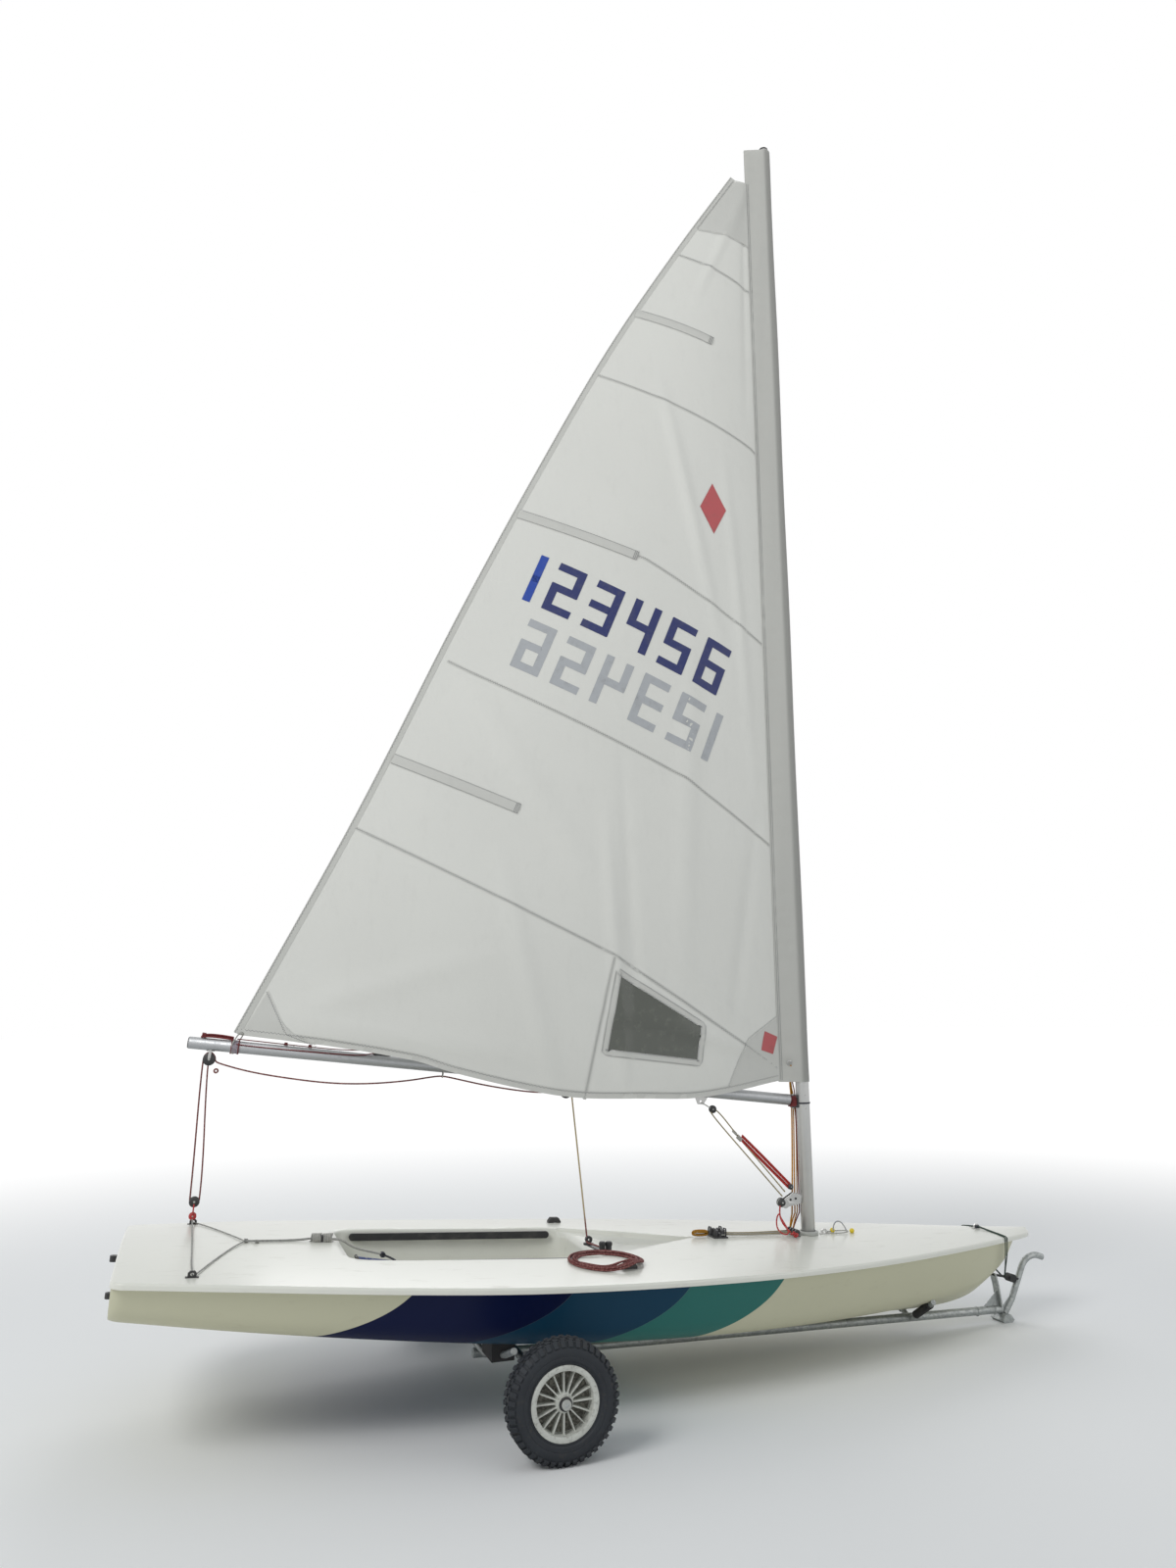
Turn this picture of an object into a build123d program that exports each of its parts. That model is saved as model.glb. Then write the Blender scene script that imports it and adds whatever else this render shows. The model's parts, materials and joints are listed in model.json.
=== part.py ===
from build123d import *
from collections import namedtuple
import math
import os

os.makedirs("parts", exist_ok=True)

# A single-handed sailing dinghy, rigged, on its two-wheeled launching trolley.
# Lengths are in millimetres, angles in degrees.
# Boat frame: x forward from the transom, y to port, z up from the deck line at the transom.
# Ground frame: x and y as before but level, z up from the ground.

# How the boat sits
DECK_Z = 640.0           # deck line above the ground at the transom
PITCH = 3.5              # bow-down angle
X_MID = 2141.0           # transom to the middle of the whole object

# Deck and rolled gunwale
LIP_H = 24.0             # height of the gunwale's outer face
LIP_R = 9.0              # radius of its roll
CROWN = 30.0             # camber of the deck at full beam
FULL_BEAM = 695.0        # half beam where the camber is full
SHELL_UP = 8.0           # how far the topsides run up inside the gunwale
BELLY = 0.015            # bulge of the bottom, as a share of its width

Rail = namedtuple("Rail", "x half z")
SHEER = [
    Rail(0.0, 490.0, -4.0), Rail(14.0, 522.0, -4.0), Rail(46.0, 540.0, -4.0),
    Rail(466.0, 613.0, -7.0), Rail(990.0, 671.0, -16.0),
    Rail(1480.0, 695.0, -21.0), Rail(2036.0, 669.0, -18.0), Rail(2592.0, 586.0, -13.0),
    Rail(3160.0, 444.0, -3.0), Rail(3733.0, 250.0, 12.0), Rail(4037.0, 128.0, 21.0),
    Rail(4160.0, 73.0, 25.0), Rail(4222.0, 30.0, 28.0),
]

# Hull below the gunwale. inset: topside inside the gunwale; tuck: bilge corner inside the topside;
# radius: round of the bilge.
Frame = namedtuple("Frame", "x inset tuck bilge_z radius keel_z")
HULL = [
    Frame(5.0, 16.0, 50.0, -146.0, 96.0, -192.0), Frame(46.0, 17.0, 51.0, -150.0, 97.0, -197.0),
    Frame(466.0, 22.0, 63.0, -183.0, 112.0, -246.0),
    Frame(990.0, 22.0, 73.0, -218.0, 124.0, -296.0),
    Frame(1480.0, 22.0, 82.0, -245.0, 132.0, -330.0),
    Frame(2036.0, 22.0, 88.0, -258.0, 140.0, -346.0),
    Frame(2592.0, 22.0, 99.0, -262.0, 144.0, -349.0),
    Frame(3160.0, 22.0, 105.0, -255.0, 140.0, -335.0),
    Frame(3620.0, 20.0, 98.0, -232.0, 130.0, -315.0),
    Frame(3850.0, 19.0, 86.0, -200.0, 100.0, -272.0),
    Frame(4000.0, 19.0, 70.0, -140.0, 70.0, -184.0),
    Frame(4085.0, 30.0, 48.0, -76.0, 40.0, -104.0),
    Frame(4112.0, 56.0, 20.0, -20.0, 12.0, -30.0),
]

# Cockpit well: half widths at the deck edge, from aft to forward
WELL = [(830.0, 290.0), (1000.0, 312.0), (1700.0, 318.0), (1870.0, 300.0)]
WELL_FLOOR = -222.0
WELL_DRAFT = 24.0        # how far the walls lean in at the floor
WELL_ROUND = 90.0        # corner radius
WALL = 6.0               # thickness of the liner
RECESS_LAP = 30.0        # how far the shallow V starts inside the well
RECESS_AFT, RECESS_TIP = WELL[-1][0] - RECESS_LAP, 2370.0
RECESS_HALF, RECESS_POINT = 306.0, 12.0
RECESS_Z = -12.0         # floor of the V
SLOT_X, SLOT_L, SLOT_W = 2222.0, 340.0, 34.0
CUT_ABOVE, CUT_BELOW = 80.0, 450.0   # how far the cuts reach past the deck and the keel
SEAT = 3.0               # how deep a fitting's base is let in before it is cut to the deck

# Deck fittings: places along the boat and sizes
RAIL_X0, RAIL_X1, RAIL_Y, RAIL_T, RAIL_H, RAIL_Z = 900.0, 1800.0, 284.0, 12.0, 30.0, -20.0
RAIL_FEET = 5
CLEAT_X, CLEAT_Y, CLEAT_L, CLEAT_W, CLEAT_H = 1890.0, 490.0, 62.0, 26.0, 24.0
FAIRLEAD_X, FAIRLEAD_Y = 262.0, 500.0
EYE_R, EYE_BORE, EYE_T = 15.0, 6.0, 8.0
STRAP_W, STRAP_T = 50.0, 4.0
STRAP_LINE = [(902.0, -46.0), (1340.0, -84.0), (1760.0, -96.0), (1864.0, -92.0)]
AFT_CLEAT_X = 752.0
CAM_X, CAM_GAP, CAM_R, CAM_H = 2510.0, 44.0, 14.0, 20.0
GUDGEON_Z = (-32.0, -163.0)
PINTLE_R, PINTLE_X, GUDGEON_L, GUDGEON_R = 4.2, 18.0, 22.0, 13.0
GUDGEON_PLATE_T, GUDGEON_PLATE_W, GUDGEON_PLATE_H = 8.0, 60.0, 40.0
MAIN_BLOCK_X = RECESS_AFT + 53.0
MAIN_BASE_R, MAIN_BASE_H, LEAD_R, LEAD_W, LEAD_Z = 22.0, 8.0, 15.0, 16.0, 22.0
JAM_X, JAM_Y = MAIN_BLOCK_X + 13.0, -176.0
JAM_R, JAM_H, JAM_STEP, ARM_W = 14.0, 30.0, 29.0, 30.0
TURN_X, TURN_R, TURN_T = 2900.0, 13.0, 12.0
TURN_Y = (-36.0, -12.0, 12.0, 36.0)
EYES_X = {"deck_eye": 3064.0, "bow_eye": 3925.0}
COIL_X, COIL_Y, COIL_H, COIL_TILT = 1826.0, -400.0, 34.0, 3.0
COIL_OUT, COIL_IN = (163.0, 150.0), (108.0, 92.0)
HANK_X, HANK_L, HANK_R = 2425.0, 90.0, 17.0

# Trolley, in the ground frame
AXLE_X, AXLE_Z, TRACK_HALF = 1490.0, 200.0, 849.0
AXLE_R, STUB_R, CAP_R, CAP_L, CAP_GAP = 16.0, 10.0, 17.0, 10.0, 1.0
SPINE_R = 19.0
SPINE = [(1380.0, 132.0), (1900.0, 106.0), (3900.0, 56.0), (4030.0, 54.0)]
SPINE_BEND = 600.0
HANDLE_R, HANDLE_WALL, HANDLE_OPEN, HANDLE_BEND = 15.0, 3.0, 30.0, 90.0
HANDLE = [(4050.0, 34.0), (4098.0, 96.0), (4208.0, 306.0), (4302.0, 272.0)]
CRADLE_R, PAD_W, PAD_H = 13.0, 90.0, 100.0
AFT_CRADLE_X, AFT_CRADLE = 1400.0, [(130.0, 0.0), (440.0, 82.0), (560.0, 126.0)]
AFT_PAD_Y, AFT_PAD_L = 330.0, 150.0
BOW_CRADLE_X, BOW_CRADLE = 3500.0, [(12.0, 0.0), (196.0, 112.0)]
CRADLE_SINK = 2.0        # the aft cradle's weld into the spine
SLEEVE_R, SLEEVE_START, SLEEVE_L = 18.0, 48.0, 138.0
SADDLE_L, SADDLE_W = 120.0, 46.0
POST = [(4022.0, 66.0), (4009.0, 170.0), (3997.0, 222.0)]
POST_W, POST_T = 42.0, 8.0
WEB_T = 4.0
WEB_AFT_X, WEB_TOP_Z, WEB_FRONT_X, WEB_FRONT_Z = 3905.0, 150.0, 4110.0, 128.0
WEB_TIP = (4080.0, 50.0)
ROLLER_X, ROLLER_Z, ROLLER_R, ROLLER_L = 4100.0, 192.0, 19.0, 46.0
TIE_X, TIE_L, TIE_H = 4066.0, 150.0, 9.0
FOOT_L, FOOT_W, FOOT_H = 70.0, 90.0, 36.0

# Wheels
TYRE_R, TYRE_W, SHOULDER = 200.0, 100.0, 22.0
RIM_R, BARREL_R, BARREL_W, BORE_FIT = 123.0, 110.0, 76.0, 0.05
FLANGE_IN, FLANGE_T, DISC_T = 102.0, 6.0, 7.0
HUB_R, HUB_L, SPOKES, SPOKE_T, SPOKE_H = 25.0, 96.0, 16, 6.0, 30.0

# Rig
MAST_X, MAST_Z = 2976.0, 482.0
RAKE = -0.3              # from the vertical, aft positive
SWING = -6.4             # boom towards port
MAST_LOW_R, MAST_TOP_R, MAST_WALL = 31.75, 25.4, 2.0
MAST_LOW_L, MAST_TOP_L, MAST_LAP = 2865.0, 3600.0, 290.0
STEP_DEPTH, STEP_FIT, RING_R, RING_H, RING_TOP = 342.0, 3.0, 46.0, 24.0, 8.0
COLLAR_H, CAP_H = 14.0, 10.0
BOOM_R, BOOM_WALL, BOOM_L, BOOM_UP = 25.4, 2.0, 2743.0, 6.2
GOOSE_H, GOOSE_PIN_R, GOOSE_PIN_FIT, GOOSE_REACH = 593.0, 5.0, 0.05, 50.0
LUG_GAP, LUG_T, LUG_W = 34.0, 12.0, 34.0
BLOCK_R, BLOCK_W, BLOCK_DROP = 26.0, 20.0, 36.0
END_BLOCK_IN, CLEW_IN = 93.0, 190.0   # in from the boom's end
END_BLOCK_AFT, MID_BLOCK_AFT, KEY_AFT = BOOM_L - END_BLOCK_IN, 1085.0, 440.0
CLEW_AFT, CLEW_W, CLEW_T = BOOM_L - CLEW_IN, 30.0, 3.0
OUTHAUL_AFT, OUTHAUL_L, OUTHAUL_H, OUTHAUL_W = 1930.0, 80.0, 22.0, 22.0
KEY_L, KEY_DROP, KEY_T, KEY_BORE, LET_IN = 68.0, 34.0, 10.0, 6.0, 6.0
VANG_H, VANG_L, VANG_PLATE_T, VANG_GAP, DRUM_R = 152.0, 86.0, 3.0, 24.0, 19.0

# Sail: luff height, leech distance and height, belly to starboard, drop of the middle
Panel = namedtuple("Panel", "luff_z leech leech_z belly drop")
SAIL = [
    Panel(690.0, 2590.0, 925.0, 190.0, 150.0), Panel(1300.0, 2136.0, 1843.0, 150.0, 50.0),
    Panel(2300.0, 1674.0, 2870.0, 120.0, 20.0), Panel(3300.0, 1277.0, 3700.0, 90.0, 10.0),
    Panel(4300.0, 892.0, 4450.0, 60.0, 0.0), Panel(5090.0, 500.0, 5110.0, 30.0, 0.0),
    Panel(5600.0, 180.0, 5610.0, 4.0, 0.0),
]
SAIL_T, SAIL_STRIPS = 3.0, 3
SLEEVE_FIT, SLEEVE_T, SLEEVE_AFT, SLEEVE_HEM, SLEEVE_Z0, SLEEVE_SHORT = 2.0, 2.5, 124.0, 26.0, 683.0, 15.0

# Loose end of the vang line, from the drum down to its knot on the deck: along, across, up
TAIL_R, KNOT_R, KNOT_L = 3.5, 13.0, 34.0
TAIL = [(-136.0, -8.0, 138.0), (-150.0, -18.0, 98.0), (-144.0, -44.0, 50.0), (-116.0, -66.0, 20.0)]
KNOT_TURN = (0.5, -0.86, -0.05)


def out(shape, node):
    export_step(shape, f"parts/{node}.step")


def at_boat(shape):
    return Pos(-X_MID, 0, DECK_Z) * Rot(0, PITCH, 0) * shape


def at_ground(shape):
    return Pos(-X_MID, 0, 0) * shape


def at_mast(shape):
    return Pos(MAST_X - X_MID, 0, MAST_Z) * Rot(0, -RAKE, 0) * Rot(0, 0, SWING) * shape


def at_boom(shape):
    return at_mast(Pos(0, 0, GOOSE_H) * Rot(0, BOOM_UP, 0) * shape)


def ground_to_boat(shape):
    return Rot(0, -PITCH, 0) * Pos(0, 0, -DECK_Z) * shape


def between(table, x, column):
    """Value of a table's column at x, on straight lines between its rows."""
    for a, b in zip(table, table[1:]):
        if x <= b[0]:
            return a[column] + (b[column] - a[column]) * (x - a[0]) / (b[0] - a[0])
    return table[-1][column]


def crown(half):
    return CROWN * (0.35 + 0.65 * half / FULL_BEAM)


def deck_z(x, y=0.0):
    half = between(SHEER, x, 1)
    return between(SHEER, x, 2) + crown(half) * (1 - (y / (half - LIP_R)) ** 2)


def polygon(points):
    return make_face(Polyline(*points, close=True).edges())


def upright(points, thickness):
    """Plate in the boat's or trolley's centre plane from its outline in x and z."""
    return extrude(polygon([(x, 0, z) for x, z in points]), thickness / 2, both=True, dir=(0, 1, 0))


def bent_bar(points, r, bend):
    path = FilletPolyline(*points, radius=bend) if len(points) > 2 else Line(*points)
    return sweep(Plane(origin=path @ 0, z_dir=path % 0) * Circle(r), path=path)


def ring_eye(x, y):
    """Eye on a foot, its hole across the boat."""
    z = deck_z(x, y)
    half = EYE_R / 2
    eye = upright([(-EYE_R, -SEAT), (EYE_R, -SEAT), (EYE_R, EYE_R), (half, EYE_R + half),
                   (-half, EYE_R + half), (-EYE_R, EYE_R)], EYE_T)
    hole = Pos(0, 0, EYE_R * 0.7) * Rot(90, 0, 0) * Cylinder(EYE_BORE, 2 * EYE_T)
    return Pos(x, y, z) * (eye - hole + Box(3 * EYE_R, 2 * EYE_T, 2 * SEAT))


def jam_cleat(x, y):
    """Cleat with a V groove along the boat and a ramp at each end."""
    z = deck_z(x, y)
    side = [(-CLEAT_L / 2, -SEAT), (CLEAT_L / 2, -SEAT), (CLEAT_L / 2, CLEAT_H / 3),
            (CLEAT_L / 2 - CLEAT_H / 2, CLEAT_H), (-CLEAT_L / 2 + CLEAT_H / 2, CLEAT_H),
            (-CLEAT_L / 2, CLEAT_H / 3)]
    groove = extrude(polygon([(0, 0, CLEAT_H / 3), (0, CLEAT_W / 4, CLEAT_H + 1),
                              (0, -CLEAT_W / 4, CLEAT_H + 1)]),
                     CLEAT_L, both=True, dir=(1, 0, 0))
    return Pos(x, y, z) * (upright(side, CLEAT_W) - groove)


def sheave_block(r, width):
    """Two cheeks with a grooved wheel between them, its pin across."""
    groove = Cylinder(r + 1, width / 3) - Cylinder(r - 6, width / 3)
    return Rot(90, 0, 0) * (Cylinder(r, width) - groove)


# Hull, deck and cockpit
def hull_section(row):
    top = between(SHEER, row.x, 1) - row.inset
    side = Vector(row.x, top, between(SHEER, row.x, 2) - LIP_H + SHELL_UP)
    bilge = Vector(row.x, top - row.tuck, row.bilge_z)
    keel = Vector(row.x, 0, row.keel_z)
    up, down = (side - bilge).normalized(), (keel - bilge).normalized()
    half_turn = (math.pi - math.acos(up.dot(down))) / 2
    reach = row.radius * math.tan(half_turn)
    start, end = bilge + up * reach, bilge + down * reach
    middle = bilge + (up + down).normalized() * (row.radius * (1 / math.cos(half_turn) - 1))
    low = (end + keel) * 0.5 + Vector(0, 0, -BELLY * end.Y)

    def port(v):
        return (v.X, -v.Y, v.Z)

    edges = [Line(side, start), ThreePointArc(start, middle, end), ThreePointArc(end, low, keel)]
    edges += [ThreePointArc(keel, port(low), port(end)), ThreePointArc(port(end), port(middle), port(start))]
    edges += [Line(port(start), port(side)), Line(port(side), side)]
    return make_face(edges)


def deck_section(row):
    x, b, s = row
    roll = LIP_R * math.sqrt(0.5)
    edges = []
    for y in (1, -1):
        edges.append(ThreePointArc((x, y * (b - LIP_R), s), (x, y * (b - LIP_R + roll), s - LIP_R + roll),
                                   (x, y * b, s - LIP_R)))
        edges.append(Line((x, y * b, s - LIP_R), (x, y * b, s - LIP_H)))
    edges.append(Line((x, b, s - LIP_H), (x, -b, s - LIP_H)))
    edges.append(ThreePointArc((x, b - LIP_R, s), (x, 0, s + crown(b)), (x, -b + LIP_R, s)))
    return make_face(edges)


def well_outline(grow, z):
    side = [(x, y + grow) for x, y in WELL]
    side[0] = (WELL[0][0] - grow, side[0][1])
    side[-1] = (WELL[-1][0] + grow, side[-1][1])
    face = polygon([(x, y, z) for x, y in side] + [(x, -y, z) for x, y in reversed(side)])
    corners = [v for v in face.vertices() if v.X < WELL[0][0] - grow + 1 or v.X > WELL[-1][0] + grow - 1]
    return fillet(corners, WELL_ROUND)


def well_solid(grow, floor, top):
    """The well's space, its walls leaning in towards the floor."""
    lean = WELL_DRAFT / -WELL_FLOOR
    ends = [well_outline(grow + lean * z, z) for z in (floor, top)]
    return loft(ends, ruled=True)


hull_solid = loft([hull_section(row) for row in HULL], ruled=True)
deck_solid = loft([deck_section(row) for row in SHEER], ruled=True)
well = well_solid(0, WELL_FLOOR, CUT_ABOVE)
pocket = well_solid(WALL, WELL_FLOOR - WALL, 2.0)
recess = extrude(polygon([(RECESS_AFT, RECESS_HALF, RECESS_Z), (RECESS_TIP, RECESS_POINT, RECESS_Z),
                          (RECESS_TIP, -RECESS_POINT, RECESS_Z),
                          (RECESS_AFT, -RECESS_HALF, RECESS_Z)]), CUT_ABOVE, dir=(0, 0, 1))
slot = Pos(SLOT_X, 0, 0) * extrude(SlotOverall(SLOT_L, SLOT_W), CUT_BELOW, both=True)
step_axis = Pos(MAST_X, 0, MAST_Z) * Rot(0, -RAKE, 0)
step_hole = step_axis * Pos(0, 0, -STEP_DEPTH) * Cylinder(
    MAST_LOW_R + STEP_FIT, STEP_DEPTH + CUT_ABOVE, align=(Align.CENTER, Align.CENTER, Align.MIN))
step_hole = ground_to_boat(step_hole)

deck = deck_solid - well - recess - slot - step_hole
hull = hull_solid - deck_solid - pocket - slot - step_hole
liner = pocket - well - deck_solid
out(at_boat(hull), "hull_shell")
out(at_boat(deck), "deck")
out(at_boat(liner), "cockpit_liner")

# Deck fittings
rails, cleats, fairleads = [], [], []
for y in (1, -1):
    mid_x = (RAIL_X0 + RAIL_X1) / 2
    bar = SlotOverall(RAIL_X1 - RAIL_X0, RAIL_H)
    rail = extrude(Plane.XZ * Pos(mid_x, RAIL_Z) * bar, RAIL_T / 2, both=True)
    rail = Pos(0, y * RAIL_Y, 0) * rail
    pitch = (RAIL_X1 - RAIL_X0 - 3 * RAIL_H) / (RAIL_FEET - 1)
    for k in range(RAIL_FEET):
        x = RAIL_X0 + 1.5 * RAIL_H + k * pitch
        rail = rail + Pos(x, y * (RAIL_Y + RAIL_T), RAIL_Z) * Box(RAIL_H, 3 * RAIL_T, RAIL_H / 2)
    rails.append(at_boat(rail - deck - liner - hull))
    cleats.append(at_boat(jam_cleat(CLEAT_X, y * CLEAT_Y) - deck))
    fairleads.append(at_boat(ring_eye(FAIRLEAD_X, y * FAIRLEAD_Y) - deck))
out(Compound(rails), "grab_rails")
out(Compound(cleats), "side_cleats")
out(Compound(fairleads), "traveller_fairleads")

strap = [(x, z) for x, z in STRAP_LINE] + [(x, z - STRAP_T) for x, z in reversed(STRAP_LINE)]
out(at_boat(upright(strap, STRAP_W) - liner - hull), "hiking_strap")
out(at_boat(jam_cleat(AFT_CLEAT_X, 0) - deck), "traveller_cleat")

cams = Pos(CAM_X, 0, deck_z(CAM_X)) * Box(5 * CAM_R, CAM_GAP + 3 * CAM_R, 4 * SEAT)
for y in (-CAM_GAP / 2, CAM_GAP / 2):
    for side in (-1, 1):
        cam = Cylinder(CAM_R * 0.6, CAM_H)
        cams = cams + Pos(CAM_X, y + side * CAM_R * 0.62, deck_z(CAM_X) + CAM_H / 2) * cam
    cams = cams + Pos(CAM_X - 1.6 * CAM_R, y, deck_z(CAM_X) + CAM_H / 2) * Box(CAM_R / 2, 2 * CAM_R, CAM_H)
out(at_boat(cams - deck), "control_cleats")

for node, z in zip(("gudgeon_upper", "gudgeon_lower"), GUDGEON_Z):
    into = HULL[0].x + GUDGEON_PLATE_T
    arm = Pos((into - PINTLE_X) / 2, 0, z) * Box(into + PINTLE_X, 2 * GUDGEON_R, GUDGEON_L)
    arm = arm + Pos(-PINTLE_X, 0, z) * Cylinder(GUDGEON_R, GUDGEON_L)
    arm = arm + Pos(GUDGEON_PLATE_T / 2 - 2, 0, z) * Box(GUDGEON_PLATE_T, GUDGEON_PLATE_W, GUDGEON_PLATE_H)
    arm = arm - Pos(-PINTLE_X, 0, z) * Cylinder(PINTLE_R, 2 * GUDGEON_L)
    out(at_boat(arm - hull_solid - deck_solid), node)

low = (Align.CENTER, Align.CENTER, Align.MIN)
block = Cylinder(MAIN_BASE_R, MAIN_BASE_H, align=low)
sheave = Cylinder(LEAD_R, LEAD_W) - Cylinder(LEAD_R / 3, 2 * LEAD_W)
block = block + Pos(0, 0, LEAD_Z) * Rot(90, 0, 0) * sheave
arm_x, arm_y = JAM_X - MAIN_BLOCK_X, JAM_Y
arm_turn = math.degrees(math.atan2(arm_y, arm_x))
block = block + Rot(0, 0, arm_turn) * Pos(math.hypot(arm_x, arm_y) / 2, 0, 0) * Box(
    math.hypot(arm_x, arm_y), ARM_W, MAIN_BASE_H / 2, align=low)
block = block + Pos(arm_x, arm_y, 0) * Box(2 * JAM_STEP, 2 * JAM_R, MAIN_BASE_H, align=low)
for step in (-0.5, 0.5):
    block = block + Pos(arm_x + step * JAM_STEP, arm_y, 0) * Cylinder(JAM_R - 1, JAM_H, align=low)
out(at_boat(Pos(MAIN_BLOCK_X, 0, RECESS_Z) * block - deck), "mainsheet_deck_block")

ring = Pos(0, 0, RING_TOP - RING_H / 2) * Cylinder(RING_R, RING_H)
ring = step_axis * (ring - Cylinder(MAST_LOW_R + STEP_FIT, 4 * RING_H))
out(at_boat(ground_to_boat(ring) - deck_solid), "mast_step_ring")

turn_z = deck_z(TURN_X)
turns = Pos(TURN_X, 0, turn_z) * Box(2 * TURN_R, TURN_Y[-1] - TURN_Y[0] + 2 * TURN_T, 3 * SEAT)
for y in TURN_Y:
    turns = turns + Pos(TURN_X, y, turn_z + TURN_R + SEAT) * Rot(90, 0, 0) * Cylinder(TURN_R, TURN_T)
out(at_boat(turns - deck), "mast_base_blocks")
for node, x in EYES_X.items():
    out(at_boat(ring_eye(x, 0) - deck), node)

coil = extrude(Ellipse(*COIL_OUT) - Ellipse(*COIL_IN), COIL_H)
coil = Pos(COIL_X, COIL_Y, deck_z(COIL_X, COIL_Y)) * Rot(COIL_TILT, 0, 0) * coil
out(at_boat(coil - deck - jam_cleat(CLEAT_X, -CLEAT_Y)), "mainsheet_coil")
hank = Pos(HANK_X, 0, deck_z(HANK_X) + HANK_R * 0.7) * Rot(0, 90, 0) * Cylinder(HANK_R, HANK_L)
out(at_boat(hank - deck), "control_hank")


# Trolley
def spine_z(x):
    return between(SPINE, x, 1)


hull_on_ground = Pos(0, 0, DECK_Z) * Rot(0, PITCH, 0) * hull_solid
spine = bent_bar([(x, 0, z) for x, z in SPINE], SPINE_R, SPINE_BEND)
axle = Pos(AXLE_X, 0, AXLE_Z) * Rot(90, 0, 0) * Cylinder(AXLE_R, 2 * (TRACK_HALF - HUB_L / 2 - 5))
stub = Cylinder(STUB_R, 2 * (TRACK_HALF + HUB_L / 2 + CAP_GAP))
axle = axle + Pos(AXLE_X, 0, AXLE_Z) * Rot(90, 0, 0) * stub
out(at_ground(spine), "trolley_spine")
out(at_ground(axle), "trolley_axle")

saddle_z = spine_z(AXLE_X)
saddle = upright([(AXLE_X - SADDLE_L / 2, saddle_z), (AXLE_X + SADDLE_L / 2, saddle_z),
                  (AXLE_X + AXLE_R, AXLE_Z + 6), (AXLE_X - AXLE_R, AXLE_Z + 6)], SADDLE_W)
out(at_ground(saddle - spine - axle), "axle_saddle")

handle_line = [(x, 0, z) for x, z in HANDLE]
grip = Vector(*handle_line[-1]) - Vector(*handle_line[-2])
handle_bore = Plane(origin=handle_line[-1], z_dir=grip) * Cylinder(HANDLE_R - HANDLE_WALL, 2 * HANDLE_OPEN)
handle = bent_bar(handle_line, HANDLE_R, HANDLE_BEND) - spine
out(at_ground(handle - handle_bore), "trolley_handle")


def cradle_line(x, rows, lift):
    z = spine_z(x) + lift
    starboard = [(x, -across, z + up) for across, up in reversed(rows)]
    return starboard + [(x, across, z + up) for across, up in rows]


aft_line = cradle_line(AFT_CRADLE_X, AFT_CRADLE, SPINE_R + CRADLE_R - CRADLE_SINK)
aft_cradle = bent_bar(aft_line, CRADLE_R, 60.0) - spine - axle
bow_line = cradle_line(BOW_CRADLE_X, BOW_CRADLE, 0)
bow_cradle = bent_bar(bow_line, CRADLE_R, 20.0) - spine
out(at_ground(aft_cradle), "aft_cradle")
out(at_ground(bow_cradle - hull_on_ground), "bow_cradle")

aft_pads, bow_pads = [], []
for y in (1, -1):
    (y0, z0), (y1, z1) = AFT_CRADLE[0], AFT_CRADLE[1]
    tube_z = aft_line[3][2] + (z1 - z0) * (AFT_PAD_Y - y0) / (y1 - y0)
    pad = Pos(AFT_CRADLE_X, y * AFT_PAD_Y, tube_z + PAD_H / 2 - 5) * Box(PAD_W, AFT_PAD_L, PAD_H)
    aft_pads.append(at_ground(pad - hull_on_ground - aft_cradle))
    root, tip = Vector(*bow_line[2]), Vector(*bow_line[3])
    root, tip = Vector(root.X, y * root.Y, root.Z), Vector(tip.X, y * tip.Y, tip.Z)
    arm = (tip - root).normalized()
    sleeve = Plane(origin=root + arm * (SLEEVE_START + SLEEVE_L / 2), z_dir=arm)
    sleeve = sleeve * Cylinder(SLEEVE_R, SLEEVE_L)
    bow_pads.append(at_ground(sleeve - hull_on_ground - bow_cradle - spine))
out(Compound(aft_pads), "aft_pads")
out(Compound(bow_pads), "bow_pads")

post_line = [(x - POST_T / 2, z) for x, z in POST] + [(x + POST_T / 2, z) for x, z in reversed(POST)]
post = upright(post_line, POST_W) - spine
web_aft = upright([(WEB_AFT_X, spine_z(WEB_AFT_X)), (POST[0][0], WEB_TOP_Z),
                   (POST[0][0], POST[0][1])], WEB_T)
web_front = upright([(POST[0][0], POST[0][1] - 10), (WEB_FRONT_X, WEB_FRONT_Z), WEB_TIP], WEB_T)
foot_x = POST[0][0] + 12
foot = upright([(foot_x - FOOT_L / 2, FOOT_H / 3), (foot_x - FOOT_L / 3, 0), (foot_x + FOOT_L / 3, 0),
                (foot_x + FOOT_L / 2, FOOT_H / 3), (foot_x + FOOT_L / 4, FOOT_H),
                (foot_x - FOOT_L / 4, FOOT_H)], FOOT_W)
out(at_ground(post - hull_on_ground), "bow_post")
out(at_ground((web_aft + web_front) - spine - post - handle), "bow_gusset")
out(at_ground(foot - spine - handle - web_front - post), "trolley_foot")

roller = Pos(ROLLER_X, 0, ROLLER_Z) * Rot(90, 0, 0) * Cylinder(ROLLER_R, ROLLER_L)
tie = Pos(TIE_X, 0, ROLLER_Z + 8) * Rot(0, 12, 0) * Box(TIE_L, ROLLER_L * 0.6, TIE_H)
out(at_ground((roller + tie) - handle - post - hull_on_ground), "bow_snubber")


# Wheels
def revolved(profile):
    return revolve(make_face(Polyline(*[(r, 0, w) for r, w in profile], close=True).edges()), Axis.Z, 360)


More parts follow.
